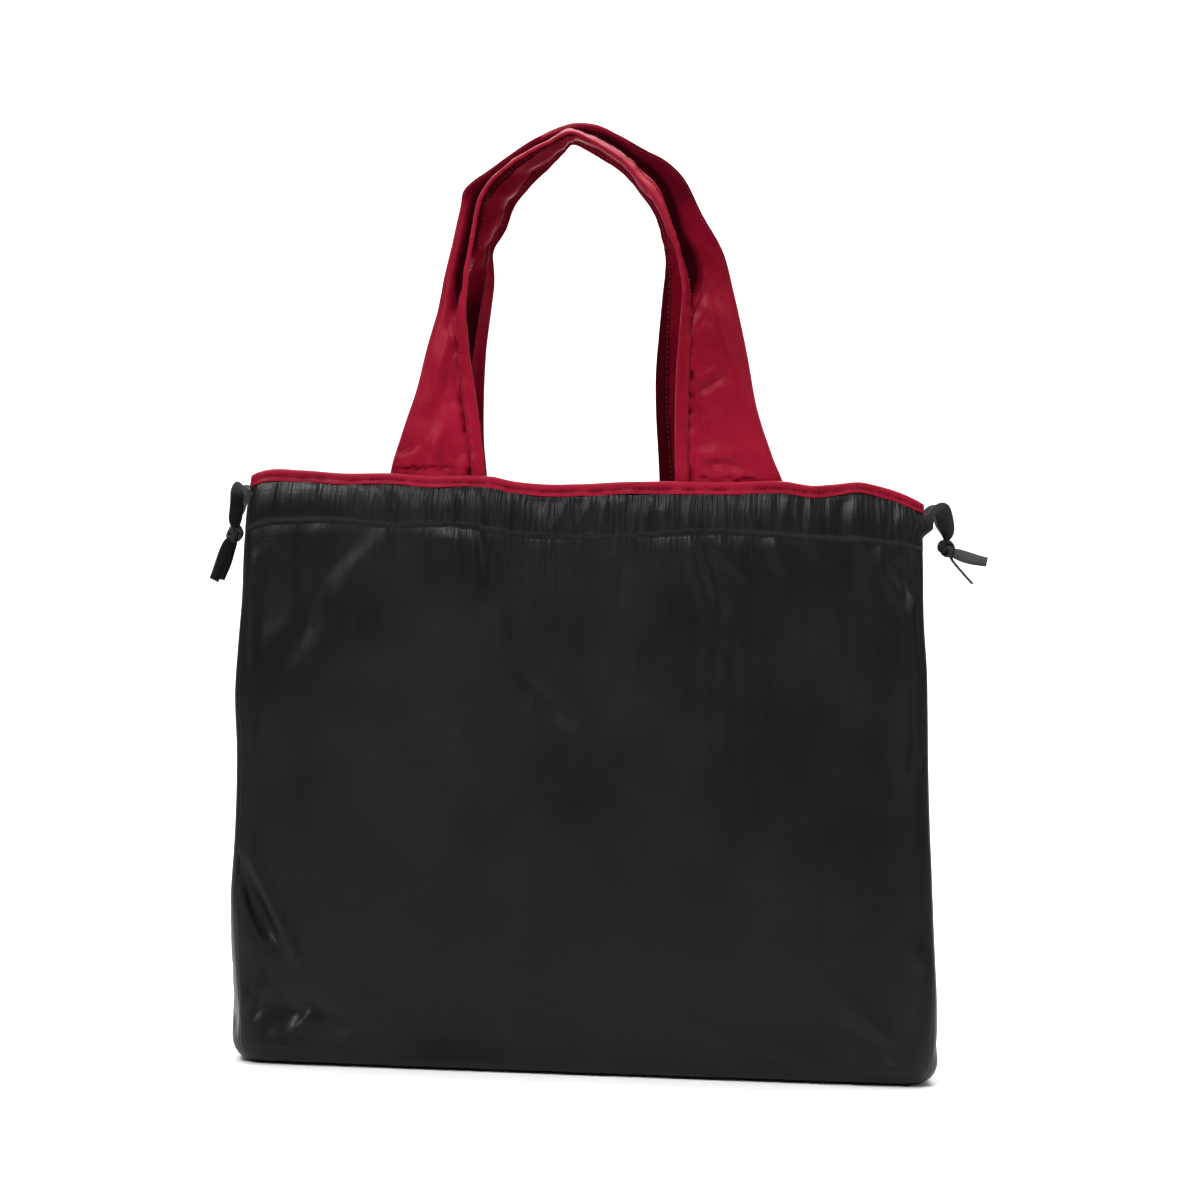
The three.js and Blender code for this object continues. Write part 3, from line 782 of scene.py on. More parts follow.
# ---------------------------------------------------------------- folds in the walls
# Creases in the front: height (out is plus), width, then points (x, z) along each.
FRONT_CREASES = [
    (1.6, 5, (-198.7, 307), (-207.9, 294), (-210.3, 280)),
    (-2.6, 8, (-141.9, 316), (-162, 290.5), (-172, 267), (-179.8, 249)),
    (2.0, 7, (-132.3, 314), (-153.8, 292.6), (-165.5, 270)),
    (1.8, 9, (-185.7, 263), (-199.5, 245), (-207, 222)),
    (-1.3, 5, (-178.8, 322), (-177.1, 274)),
    (-1.5, 2.6, (-125.6, 345), (-124, 330), (-123.4, 312)),
    (1.6, 4.5, (-76.6, 319), (-71.9, 286)),
    (1.2, 4, (-85.6, 317), (-87.1, 290)),
    (-1.0, 4, (-81, 316), (-80, 292)),
    (2.2, 11, (-62, 300), (-58.5, 264), (-49, 243), (-35, 227)),
    (-2.6, 7, (-50, 247), (-40, 231), (-17, 212)),
    (1.6, 4.5, (53, 323), (59, 298.7), (68, 270)),
    (-1.6, 4, (60, 323), (68, 300), (76, 280)),
    (1.9, 4.5, (67.3, 323), (75, 313), (88, 300)),
    (1.7, 4.5, (102.6, 326), (105, 316), (112, 304)),
    (1.5, 5, (122.4, 327), (131, 317), (143, 308)),
    (1.6, 6, (154.3, 325), (162.8, 306), (161.7, 284)),
    (1.8, 4.5, (171, 325), (169.8, 310), (183, 287), (190.5, 268)),
    (-1.6, 5, (178, 323), (178, 308), (190, 285)),
    (-5.5, 5.2, (-212, 124), (-203, 106), (-197, 92)),
    (-5, 6, (-200, 98), (-193, 84), (-184, 74)),
    (2.9, 3.6, (-206, 129), (-195, 107), (-185, 88), (-172, 64)),
    (2.2, 9, (-207, 98), (-199, 82), (-188, 62)),
    (2.0, 3.2, (-206, 27), (-194, 46)),
    (-1.5, 3, (-199, 24), (-189, 42)),
    (1.9, 3, (-172, 20), (-160, 33)),
    (-2.6, 6, (-180, 38), (-166, 28)),
    (-1.5, 6, (-168, 44), (-156, 32), (-134, 22)),
    (1.4, 6, (158, 46), (176, 33), (194, 20)),
    (-1.2, 5, (150, 40), (170, 26), (190, 14)),
    (1.6, 5, (195, 82), (203, 68), (209, 52)),
    (1.2, 4, (198.6, 213), (187, 181)),
    (-1.4, 4, (203, 205), (194, 178)),
    (0.9, 5, (64, 33), (106, 22), (160, 12)),
    (1.2, 12, (-178, 252), (-185, 204), (-197, 156), (-206, 126)),
    (-1.2, 10, (-160, 240), (-163, 190), (-170, 140), (-176, 100)),
]
BACK_CREASES = [
    (-3.6, 7, (207, 112), (196, 88), (176, 62)),
    (2.2, 6, (200, 118), (189, 92), (170, 70)),
    (2.0, 10, (-150, 300), (-168, 262), (-184, 214)),
    (-2.0, 9, (118, 312), (134, 282), (150, 240)),
    (1.7, 10, (20, 300), (12, 262), (-6, 224)),
    (-1.8, 8, (36, 296), (26, 256), (8, 222)),
    (1.6, 5, (-88, 322), (-84, 292)),
    (1.7, 5, (72, 322), (66, 286)),
    (1.5, 5, (-196, 70), (-206, 48)),
    (1.4, 5, (-170, 42), (-150, 20)),
]


CREASES = {FRONT: FRONT_CREASES, BACK: BACK_CREASES}


def creases(x, z, table):
    """The heights of a table's creases at every point of a wall."""
    total = np.zeros_like(x)
    for height, width, *line in table:
        line = np.array(line, float)
        s = np.linspace(0, len(line) - 1, 26)
        rows = np.column_stack([np.arange(len(line)), line])
        path = curve(rows, s)
        low, high = path.min(0) - 3 * width, path.max(0) + 3 * width
        near = (x > low[0]) & (x < high[0]) & (z > low[1]) & (z < high[1])
        if not near.any():
            continue
        gap = np.hypot(x[near][:, None] - path[:, 0], z[near][:, None] - path[:, 1])
        k = gap.argmin(1)
        fade = np.sin(math.pi * np.clip(0.06 + 0.88 * s[k] / s[-1], 0, 1)) ** 0.6
        total[near] += height * fade * bump(gap.min(1), 0, width)
    return total


# How strongly the channel and the cloth below it are gathered, along x.
GATHERS = {
    FRONT: [(-214, 0.35), (-160, 0.4), (-125, 0.8), (-60, 0.95), (0, 1.1), (60, 1.1),
            (110, 0.75), (150, 0.8), (194, 0.9)],
    BACK: [(-214, 0.8), (-150, 0.7), (-80, 1.0), (0, 1.1), (80, 0.9), (194, 0.6)],
}
# Folds that hang below the channel: height, width, length and how far down they reach.
HANGING_FOLDS = ((0.95, 5.5, 30, 16), (1.6, 12, 60, 42), (1.9, 30, 110, 120))


def wall_folds(side, P, t):
    """How far a wall's cloth stands out from the sagged shell, in millimetres."""
    x, z = P[..., 0], P[..., 2]
    t = spread_down(t, x)
    seed = {FRONT: 11, BACK: 41}[side]
    strength = curve(GATHERS[side], x)
    sewn = curve(RIMS[side], x)[..., 1]
    v = np.clip(t - 1, 0, 1)
    wander = 1.4 * noise(x / 24, v * 1.2, seed)
    fine = noise(x / 3.4 + wander, v * 1.3, seed + 1)
    middle = noise(x / 8.5 + wander, v * 1.1, seed + 2)
    broad = noise(x / 30, v, seed + 3)
    pucker = 0.75 * fine + 1.15 * (0.5 - np.abs(middle) * 1.6) + 0.6 * broad
    inside = smooth(t, 0.99, 1.1) * (1 - 0.75 * smooth(t, 1.66, 1.8))
    tube = 1.5 * np.sin(math.pi * np.clip(v / 0.8, 0, 1)) ** 0.7
    tube = tube * smooth(t, 1.0, 1.02)
    seam = -0.8 * bump(t, 1.0, 0.014) - 0.2 * noise(x / 2.9, 0, seed + 4) * bump(t, 1, 0.03)
    out = inside * strength * pucker + tube + seam
    below = np.maximum(sewn - z, 0)
    fan = x + 0.10 * below * np.sin(x / 60)
    hang = sum(
        high * noise(fan / w, below / long, seed + 5 + k) * np.exp(-below / reach)
        for k, (high, w, long, reach) in enumerate(HANGING_FOLDS))
    out += hang * strength * smooth(below, 0, 8)
    away = smooth(z, 3, 30) * smooth(below, 5, 60)
    out += away * (0.9 * noise(x / 75, z / 95, seed + 8) + 0.22 * noise(x / 17, z / 30, seed + 9))
    out += 0.5 * bump(z, 16, 14) * noise(x / 16, z / 9, seed + 10)
    out += creases(x, z, CREASES[side]) * smooth(z, 1, 6)
    ends = curve(ENDS, z)
    corner = np.minimum(x - ends[..., 0], ends[..., 1] - x)
    # no hollow is deeper than this where the channel is sewn, or it would meet the lining
    at_seam, deepest = smooth(t, 0.955, 0.985) * (1 - smooth(t, 1.03, 1.08)), -0.9
    out = np.where(out < deepest, out * (1 - at_seam) + deepest * at_seam, out)
    return out * (0.25 + 0.75 * smooth(corner, 0, 12)) * smooth(t, 0.0, 0.05)


def gather_map(side, P, t):
    """How finely the cloth is puckered at each point of a wall, from 0 to 1."""
    x, z = P[..., 0], P[..., 2]
    t = spread_down(t, x)
    sewn = curve(RIMS[side], x)[..., 1]
    channel = smooth(t, 0.98, 1.06) * (1 - 0.3 * smooth(t, 1.7, 1.9))
    under = 0.7 * np.exp(-np.maximum(sewn - z, 0) / 16) * (t < 1)
    patchy = 0.75 + 0.35 * noise(x / 21, 0, 401)
    return np.clip(curve(GATHERS[side], x) * patchy * np.maximum(channel, under), 0, 1)


def gusset_folds(side, P, t):
    """How far a gusset's cloth stands out from the sagged shell."""
    y, z = P[..., 1], P[..., 2]
    t = spread_down(t, y)
    seed = {LEFT: 71, RIGHT: 81}[side]
    below = np.maximum(GUSSET_SEWN_Z - z, 0)
    middle = np.cos(np.clip(y / curve(HALF_DEPTH, z), -1, 1) * math.pi / 2)
    out = 1.3 * noise(y / 11, below / 60, seed) * np.exp(-below / 50)
    out += 1.1 * noise(y / 26, z / 50, seed + 1) * smooth(z, 4, 40)
    out += 0.35 * noise(y / 7, z / 14, seed + 2) * bump(z, 20, 25)
    v_fold = np.abs(y) - 44 + np.abs(z - 10) * 0.62  # the base's corner folds
    out += -1.6 * bump(v_fold, 0, 4.5) * smooth(z, 4, 14) * (1 - smooth(z, 60, 80))
    out -= 0.5 * bump(t, 1.0, 0.014)
    return out * middle * smooth(t, 0.0, 0.05)


FLAP_REACH = 7.5


def rim_flap(P, t):
    """The channel's right end stands open: its cloth juts out past the side."""
    x = P[..., 0]
    return FLAP_REACH * smooth(x, 182, 193) * bump(spread_down(t, x), 1.5, 0.17)


PANEL_U = np.linspace(0, 1, 327)
PANEL_T = np.concatenate([np.linspace(0, 1, 108), np.linspace(1, 2, 28)[1:]])
GUSSET_U = np.linspace(0, 1, 61)


def fine_wall(side, u, t):
    """The wall with its folds: the middle of the cloth."""
    P = wall(side, u, t)
    folds = (wall_folds if side in (FRONT, BACK) else gusset_folds)(side, P, t)
    return P + grid_normals(P) * folds[..., None]


def cut_wall(side, u, t):
    """The same, with the front's open channel end."""
    P = fine_wall(side, u, t)
    if side == FRONT:
        P[..., 0] += rim_flap(P, t)
    return P


def side_name(side):
    return f"{side}_wall" if side in (FRONT, BACK) else f"{side}_side"


def side_piece(side):
    """A wall or gusset from the bottom seam to the mouth, and the grid it is made on."""
    wide = side in (FRONT, BACK)
    P = cut_wall(side, PANEL_U if wide else GUSSET_U, PANEL_T)
    # the gather map sets the puckers' bumps and also their painted shade and highlights
    puckers = gather_map(side, P, PANEL_T) if wide else None
    marks = ("gather", puckers, puckers) if wide else None
    cloth = cloth_sheet(side_name(side), P, CLOTH, BLACK, marks=marks)
    stand_for(cloth, f"{side}_panel" if wide else f"{side}_gusset")
    return P


WALLS = {side: side_piece(side) for side in (FRONT, BACK, LEFT, RIGHT)}


def base_piece():
    """The bottom: the four walls' lowest lines joined by a slack sheet."""
    front, back = WALLS[FRONT][0], WALLS[BACK][0][::-1]
    right, left = WALLS[RIGHT][0], WALLS[LEFT][0][::-1]
    rows, cols = len(right), len(front)
    u = np.linspace(0, 1, cols)[None, :, None]
    v = np.linspace(0, 1, rows)[:, None, None]
    P = (1 - v) * front[None] + v * back[None] + (1 - u) * left[:, None] + u * right[:, None]
    P = P - (1 - u) * (1 - v) * front[0] - u * (1 - v) * front[-1]
    P = P - (1 - u) * v * back[0] - u * v * back[-1]
    x, y = P[..., 0], P[..., 1]
    from_end, from_side = 0.5 - np.abs(u[..., 0] - 0.5), 0.5 - np.abs(v[..., 0] - 0.5)
    inside = smooth(from_end, 0, 0.02) * smooth(from_side, 0, 0.1)
    P[..., 2] += inside * (0.45 + 0.45 * noise(x / 34, y / 26, 91))
    base = cloth_sheet("bottom", P[::-1], CLOTH, BLACK)
    stand_for(base, "base_panel")


base_piece()


# ---------------------------------------------------------------- tapes and seams
def cloth_edges(side):
    """The mouth's edge of a side: points, the way down the wall, the way out."""
    u = PANEL_U[::2] if side in (FRONT, BACK) else GUSSET_U[::2]
    P = cut_wall(side, u, np.array([1.7, 1.85, 2.0]))
    N = grid_normals(P)[2]
    down = unit(P[1] - P[2])
    return P[2], down, unit(N - down * (N * down).sum(-1, keepdims=True))


BIND = 0.75  # a binding's thickness


def binding(side):
    """A tape folded over the mouth's edge, and the threads that hold it."""
    edge, down, out = cloth_edges(side)
    seed = {FRONT: 101, RIGHT: 111, BACK: 121, LEFT: 131}[side]
    wide = side in (FRONT, BACK)
    s = lengths(edge)
    leg = LEG + 0.6 * noise(s / 40, 0, seed) + 0.35 * noise(s / 9, 0, seed + 1)
    wave = 0.5 * noise(s / 5.5, 0, seed + 2) + 0.4 * noise(s / 15, 0, seed + 3)
    reach_out = CLOTH / 2 + BIND / 2 + 0.25
    reach_in = reach_out + 1.5 if wide else reach_out
    # how far out, how far down, and how slack: up the outside, over the edge, down inside; and
    # painted shade where the tape is sewn
    rows, deep = [], []
    for w in np.linspace(0, 1, 9)[:-1]:
        sewn = float(bump(w, 0.5, 0.2))
        rows.append((reach_out - 0.35 * sewn, leg * (1 - w) + 0.4, 1 - w))
        deep.append(0.75 * sewn)
    radius = (reach_out + reach_in) / 2
    for a in np.linspace(0, math.pi, 8):
        away = reach_out - radius + radius * math.cos(a)
        rows.append((away, -radius * 0.62 * math.sin(a), 0.2))
    for w in np.linspace(0, 1, 7)[1:]:
        rows.append((-reach_in, leg * w * 0.97 + 0.4, w))
    P = []
    for away, drop, slack in rows:
        ripple = wave * slack * (1 if away > 0 else -1)
        drop = np.broadcast_to(drop, s.shape)[:, None]
        P.append(edge + out * (away + ripple)[:, None] + down * drop)
    P = np.array(P)
    # painted shade along the line where the tape is sewn, on its outside only, patchy along its
    # length
    hollow_shade = np.clip(0.65 + 0.6 * noise(s / 2.6, 0, seed + 4), 0, 1)
    deep = np.array(deep + [0] * (len(P) - len(deep)))[:, None] * hollow_shade
    tape = cloth_sheet(f"{side}_binding_tape", P, BIND, RED_TAPE, marks=("painted_shade", deep, deep * 0))
    stand_for(tape, f"{side}_binding")
    for name, row, face in (("outer", 4, 1), ("inner", len(P) - 2, -1)):
        path = P[row] + out * (face * (BIND / 2 + 0.02))
        sew(f"{side}_binding_thread_{name}", path, out * face, RED_THREAD,
            pitch=2.9, length=1.9, radius=0.26)


for name in (FRONT, RIGHT, BACK, LEFT):
    binding(name)


def channel_lining(side):
    """The band inside that makes the cord's channel."""
    u = np.linspace(0.03, 0.97, 190)
    t = np.linspace(0.992, 1.99, 22)
    P = wall(side, u, t)
    x = P[..., 0]
    v = np.clip(t - 1, 0, 1)[:, None]
    room = smooth(v, 0.06, 0.2) * (1 - smooth(v, 0.66, 0.8))
    rough = 0.35 * noise(x / 6, v * 1.2, 151) + 0.4 * noise(x / 19, v, 152)
    inset = 1.15 + room * (2.5 + rough)
    P = P - grid_normals(P) * inset[..., None]
    band = cloth_sheet(f"{side}_channel_lining", P, 0.6, LINING)
    stand_for(band, f"{side}_channel_facing")


def channel_seam(side):
    """The thread along the channel's lower edge, which dips with the gathers."""
    P = fine_wall(side, PANEL_U, np.array([0.996, 1.0, 1.004]))
    path, N = P[1], grid_normals(P)[1]
    for name, at, out, cut, radius in (("", 0.2, N, 0, 0.27), ("_inner", 1.5, -N, 10, 0.25)):
        line = slice(cut, len(path) - cut)
        sew(f"{side}_channel_thread{name}", (path + out * at)[line], out[line],
            BLACK_THREAD, pitch=3.3, length=2.3, radius=radius)


for name in (FRONT, BACK):
    channel_lining(name)
    channel_seam(name)


def corner_tape(side, gusset, node):
    """The tape bound over the seam inside, where a wall meets a gusset."""
    t = np.linspace(0.03, 1.72, 90)
    near_wall, near_gusset = np.array([0.009, 0.0045, 0.0]), np.array([0.0, 0.02, 0.04, 0.06])
    if (side, gusset) in ((FRONT, RIGHT), (BACK, LEFT)):
        a, b = fine_wall(side, 1 - near_wall, t), fine_wall(gusset, near_gusset, t)
        P = np.concatenate([a[:, :2], b], 1)
    else:
        a = fine_wall(gusset, 1 - near_gusset[::-1], t)
        P = np.concatenate([a[:, :-1], fine_wall(side, near_wall[::-1], t)], 1)
    z = P[..., 2]
    P = P - grid_normals(P) * (1.1 + 0.15 * noise(z / 6, 0, 161))[..., None]
    tape = cloth_sheet(f"{node}_bound", P, 0.5, SEAM_TAPE)
    stand_for(tape, node)


for side in (FRONT, BACK):
    for gusset in (LEFT, RIGHT):
        corner_tape(side, gusset, f"{side}_{gusset}_seam_tape")


def base_tape():
    """The tape bound over the bottom seam, all the way round."""
    parts = []
    for side, _ in RING:
        u = np.linspace(0, 1, 121 if side in (FRONT, BACK) else 31)
        P = wall(side, u, np.array([0.0, 0.006, 0.012]))
        out = unit(P[1] - P[0])
        parts.append(np.stack([P[0] - out * 4, P[0] - out * 2, P[0], P[1], P[2]])[:, :-1])
    P = np.concatenate(parts, 1)
    P = np.concatenate([P, P[:, :1]], 1)
    P[..., 2] += 1.05
    tape = cloth_sheet("base_seam_bound", P, 0.5, SEAM_TAPE)
    stand_for(tape, "base_seam_tape")


base_tape()


# ---------------------------------------------------------------- handles
# Along each handle from its left foot: its outer edge (x, y, z), its inner edge (x, y, z),
# how deep it is troughed, and where across it the trough lies. y is for the front one.
FRONT_HANDLE = [
    (-127.5, -27, 341, -71.5, -27, 341, 0, 0.5),
    (-127.5, -27, 353, -71.5, -27, 353, -0.3, 0.5),
    (-121, -26.5, 380, -75, -27.5, 380, -0.6, 0.5),
    (-113.5, -24.5, 406, -79.5, -28.5, 406, -0.4, 0.5),
    (-108.5, -22, 431, -84, -29, 431, 0.6, 0.55),
    (-103.3, -19, 453, -86.5, -28.5, 452, 3.2, 0.55),
    (-99.5, -15.5, 477, -86, -28, 477, 6.5, 0.55),
    (-95.5, -12, 498, -83.5, -27, 497, 9.4, 0.52),
    (-92, -8.5, 519, -81.5, -26, 512, 9.6, 0.5),
    (-90.6, -7, 528, -79.5, -25.7, 521, 9, 0.5),
    (-86, -6, 533.5, -76.5, -25.5, 528, 8.4, 0.5),
    (-77, -4.5, 540.5, -70, -24.5, 536.5, 7.4, 0.48),
    (-64, -3, 551, -56, -23, 548, 6.4, 0.46),
    (-46, -1.8, 563.5, -40, -21.5, 557.5, 5.6, 0.44),
    (-27, -1.3, 572, -26, -20.5, 564, 5.3, 0.42),
    (-13, -1.3, 572, -12, -21, 558, 5.3, 0.36),
    (1, -1.6, 566.5, 3, -22, 549, 6, 0.3),
    (18, -3, 557.5, 16, -23.5, 536, 7, 0.34),
    (31, -4.5, 551, 27, -25, 522, 8, 0.4),
    (42, -6, 541, 34, -26, 507, 9, 0.5),
    (54, -8.5, 519, 39.5, -27, 493, 9, 0.62),
    (67, -12, 497, 44, -28, 475, 6.5, 0.72),
    (74.5, -15.5, 472, 43.7, -29, 452, 2, 0.7),
    (83.5, -19, 436, 42.6, -29, 428, 0.6, 0.7),
    (91, -23, 401, 42.6, -28.5, 400, -0.4, 0.5),
    (101, -26, 373, 43.5, -27.5, 372, -0.6, 0.5),
    (109, -27, 353, 44.5, -27, 353, -0.3, 0.5),
    (109, -27, 341, 44.5, -27, 341, 0, 0.5),
]
BACK_HANDLE = [
    (-127, -27, 341, -71.5, -27, 341, 0, 0.5),
    (-127, -27, 353, -72, -27, 353, -0.3, 0.5),
    (-119, -27, 380, -75, -28, 380, -0.5, 0.5),
    (-110, -26, 406, -76, -28.5, 412, -0.2, 0.5),
    (-104, -24, 431, -75.5, -28, 436, 0.5, 0.5),
    (-98, -20, 455, -73.5, -26, 458, 1.5, 0.5),
    (-93, -16, 480, -72, -25, 478, 2.5, 0.5),
    (-88, -12, 500, -73, -24, 496, 3, 0.5),
    (-84, -8, 518, -66, -22, 509, 3, 0.5),
    (-78, -5, 531, -62, -21, 522, 3, 0.5),
    (-68, -4, 540, -54, -20, 534, 3, 0.5),
    (-56, -2.5, 550, -42, -19.5, 546, 3, 0.5),
    (-42, -1.6, 561, -34, -19.5, 555, 3, 0.5),
    (-27, -1.3, 570.5, -26, -20, 563, 3.5, 0.45),
    (-12, -1.3, 570, -10, -20.5, 556, 3.5, 0.45),
    (2, -1.6, 564, 4, -21.5, 548, 3.5, 0.45),
    (18, -3, 554, 17, -23, 535, 4, 0.5),
    (30, -5, 545, 27, -24.5, 521, 4, 0.5),
    (40, -8, 530, 31.5, -26, 508, 4, 0.55),
    (48, -12, 510, 34.5, -27, 495, 3.5, 0.6),
    (56, -16, 488, 33.5, -28, 474, 2.5, 0.6),
    (63, -19, 462, 32, -28.5, 448, 1.5, 0.6),
    (72, -22, 430, 31, -29, 424, 0.5, 0.5),
    (80, -25, 400, 32, -28.5, 400, -0.3, 0.5),
    (88, -27, 374, 34.5, -28, 372, -0.5, 0.5),
    (95, -27, 353, 36, -27, 353, -0.3, 0.5),
    (95, -27, 341, 36.5, -27, 341, 0, 0.5),
]
HANDLES = {FRONT: FRONT_HANDLE, BACK: BACK_HANDLE}
HANDLE_CLOTH = 1.0
HEM = 7.2
HANDLE_STEPS, HANDLE_ACROSS = 340, 41
FOOT_SEAM = 17.8  # how far up a handle the binding's seam crosses it
TROUGH = 0.23  # how wide a handle's long fold is, as a share of the handle's width
# Tucks and folds in the front handle's cloth: height, width, then (length, across)
# points, lengths from the left foot in millimetres and across from 0 (outer) to 1.
HANDLE_TUCKS = {
    FRONT: [
        (-1.6, 2.6, (27, 0.02), (30, 0.14), (31, 0.2)), (-1.2, 3.5, (12, 0.28), (26, 0.36)),
        (-1.3, 3, (30, 0.95), (27, 0.72), (33, 0.6)), (1.5, 4, (14, 0.36), (30, 0.42), (40, 0.5)),
        (-1.3, 3, (14, 0.62), (26, 0.5)), (1.0, 4, (58, 0.3), (95, 0.5), (118, 0.78)),
        (-1.3, 5, (50, 0.42), (80, 0.6), (100, 0.85)), (-1.2, 4, (62, 0.85), (58, 0.6)),
    ],
    BACK: [(1.4, 5, (150, 0.3), (172, 0.7)), (-1.6, 6, (160, 0.4), (186, 0.8)),
           (-1.8, 6, (192, 0.3), (204, 0.75)), (1.3, 5, (204, 0.3), (222, 0.8))],
}
# The same for the right run, with lengths from the right foot.
HANDLE_TUCKS_RIGHT = {
    FRONT: [
        (-2.0, 3.2, (26, 0.72), (28, 0.55), (25, 0.35)), (1.5, 4, (31, 0.75), (33, 0.5)),
        (-1.5, 2.6, (72, 0.8), (74, 0.62), (82, 0.34)), (0.9, 3.5, (76, 0.8), (84, 0.4)),
        (-1.3, 2.4, (128, 0.8), (138, 0.66), (146, 0.56)), (1.1, 2.4, (124, 0.78), (134, 0.64)),
        (-1.2, 2.4, (120, 0.8), (128, 0.66)), (1.4, 6, (60, 0.16), (100, 0.3), (130, 0.5)),
        (-1.3, 6, (44, 0.2), (60, 0.34), (64, 0.6)), (1.4, 5, (150, 0.35), (172, 0.6)),
    ],
    BACK: [(1.2, 5, (60, 0.3), (90, 0.6))],
}


def shaded(side, P, across, place, dip):
    """How much painted shade a handle's outer and inner faces get: in the long trough
    along the front one, and painted shadow where one handle keeps the light from the other."""
    x, z = P[..., 0], P[..., 2]
    right = smooth(x, -20, 15)
    if side == FRONT:
        # painted shadow on the outer face beyond the trough, on the upper parts of both runs
        beyond = 1 - smooth(across, place - 0.12, place + 0.08)
        top_left = (1 - right) * smooth(z, 508, 534) * (1 - smooth(z, 560, 568))
        top_left = top_left * (0.6 + 0.35 * smooth(across, 0.05, 0.25))
        top_right = 0.8 * smooth(x, 2, 14) * smooth(z, 505, 532)
        low_right = 0.5 * right * smooth(z, 462, 505)
        shadow = beyond * np.maximum(top_left + top_right, low_right)
        # painted shade in the trough itself, stronger on the left run
        outside = np.maximum(dip * (2.4 - 0.9 * right), shadow)
        # painted shade on the inner face past the trough, high on the left run
        within = smooth(across, place - 0.1, place + 0.1)
        inside = 0.9 * (1 - right) * smooth(z, 480, 510) * within
    else:
        outside = np.zeros_like(x)
        # painted shadow on the back handle's inner face, low on both runs, where the front handle
        # keeps the light off it
        inside = 0.95 * (1 - smooth(z, 455, 500)) * (1 - right)
        inside = inside + 0.55 * (1 - smooth(z, 470, 530)) * right
    return np.array([outside, inside])


def handle_grid(side):
    """The middle of a handle's cloth, with rows along it and columns from its outer to
    its inner edge, the width at each row, the lengths along it, and how much painted
    shade each face gets."""
    table = np.array(HANDLES[side], float)
    rows = np.column_stack([lengths((table[:, :3] + table[:, 3:6]) / 2), table])
    s = np.linspace(0, rows[-1, 0], HANDLE_STEPS)
    values = curve(rows, s)
    outer, inner, trough, place = np.split(values, (3, 6, 7), axis=1)
    across = np.linspace(0, 1, HANDLE_ACROSS)[None] + 0 * s[:, None]
    P = outer[:, None] * (1 - across[..., None]) + inner[:, None] * across[..., None]
    N = grid_normals(P)
    width = np.linalg.norm(inner - outer, axis=-1)[:, None]
    across_mm = across * width
    length = s[:, None] + 0 * across
    far = s[-1] - length
    from_foot = np.minimum(length, far)
    from_hem = (1 - across) * width - HEM
    from_seam = np.abs(from_hem)
    seed = 201 if side == FRONT else 221

    # the long fold, then the cloth drawn in along the hem's seam
    dip = bump(across, place, TROUGH)
    ends = bump(0, place, TROUGH) * (1 - across) + bump(1, place, TROUGH) * across
    out = -trough * (dip - ends)
    out += 0.95 * noise(length / 3.1, across * 2, seed) * np.exp(-from_seam / 4.5)
    out -= 0.75 * bump(from_seam, 0, 1.1)
    drawn = noise((length + 1.3 * from_seam) / 3.6, from_seam / 9, seed + 7)
    out += 0.6 * drawn * np.exp(-from_seam / 7) * smooth(from_seam, 0, 2)

    # soft folds that lean across it: height, length, number across, step of the seed
    middle = np.sin(math.pi * np.clip(across * 1.05, 0, 1))
    slope = length + (across - 0.5) * 26
    for high, long, number, step in ((1.5, 26, 2.2, 1), (0.65, 9, 3.2, 2), (0.42, 4.2, 6, 6)):
        out += middle * high * noise(slope / long, across * number, seed + step)

    # gathers that rise from its feet, and its tucks
    for reach in (length, far):
        up = np.maximum(reach - 12, 0)
        out += 2.2 * noise(across_mm / 4.2, up / 20, seed + 3) * np.exp(-up / 9)
        out += 1.8 * noise(across_mm / 11, up / 40, seed + 4) * np.exp(-up / 28)
    for reach, widths, tucks in (
            (length, width[:, 0], HANDLE_TUCKS), (far, width[::-1, 0], HANDLE_TUCKS_RIGHT)):
        lines = [(1.5 * high, w, *[(a, b * np.interp(a, s, widths)) for a, b in line])
                 for high, w, *line in tucks[side]]
        out += creases(reach, across_mm, lines)

    # painted shade and shadow: in the long trough, where one handle shades the other, along the
    # seam, at the foot and in the puckers by the hem
    deep = shaded(side, P, across, place, dip * smooth(trough, 2, 7))
    hollow_shade = np.clip(0.5 + 0.9 * noise(length / 3.1, across * 2, seed + 5), 0, 1)
    deep[0] += hollow_shade * 0.6 * bump(from_seam, 0, 1.5)
    foot_line = from_foot - FOOT_SEAM - 1.7 * noise(across_mm / 2.6, length / 30, seed + 8)
    tucked = np.clip(0.2 + 1.3 * noise(across_mm / 6, length / 40, seed + 9), 0, 1)
    deep[0] += 0.9 * tucked * bump(foot_line, 0, 0.9) * (from_hem > 0)
    puckered = np.clip(2.2 * noise(length / 4.5, from_hem / 8, seed + 10) - 0.7, 0, 1)
    deep[0] += 0.75 * puckered * bump(from_hem, 1.6, 1.7)
    out -= 0.7 * puckered * bump(from_hem, 1.8, 1.8)
    P = P + N * (out * smooth(from_foot, 2, 12))[..., None]
    if side == BACK:
        P = P * np.array([1, -1, 1])
    return P, width[:, 0], s, np.clip(deep, 0, 1)


def bend_with(obj):
    """A piece of a handle, with its transform baked into its mesh."""
    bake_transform(obj)


def facing_out(P, side):
    """A handle's columns in the order that turns the sheet's outside outwards."""
    return P if side == FRONT else P[:, ::-1]


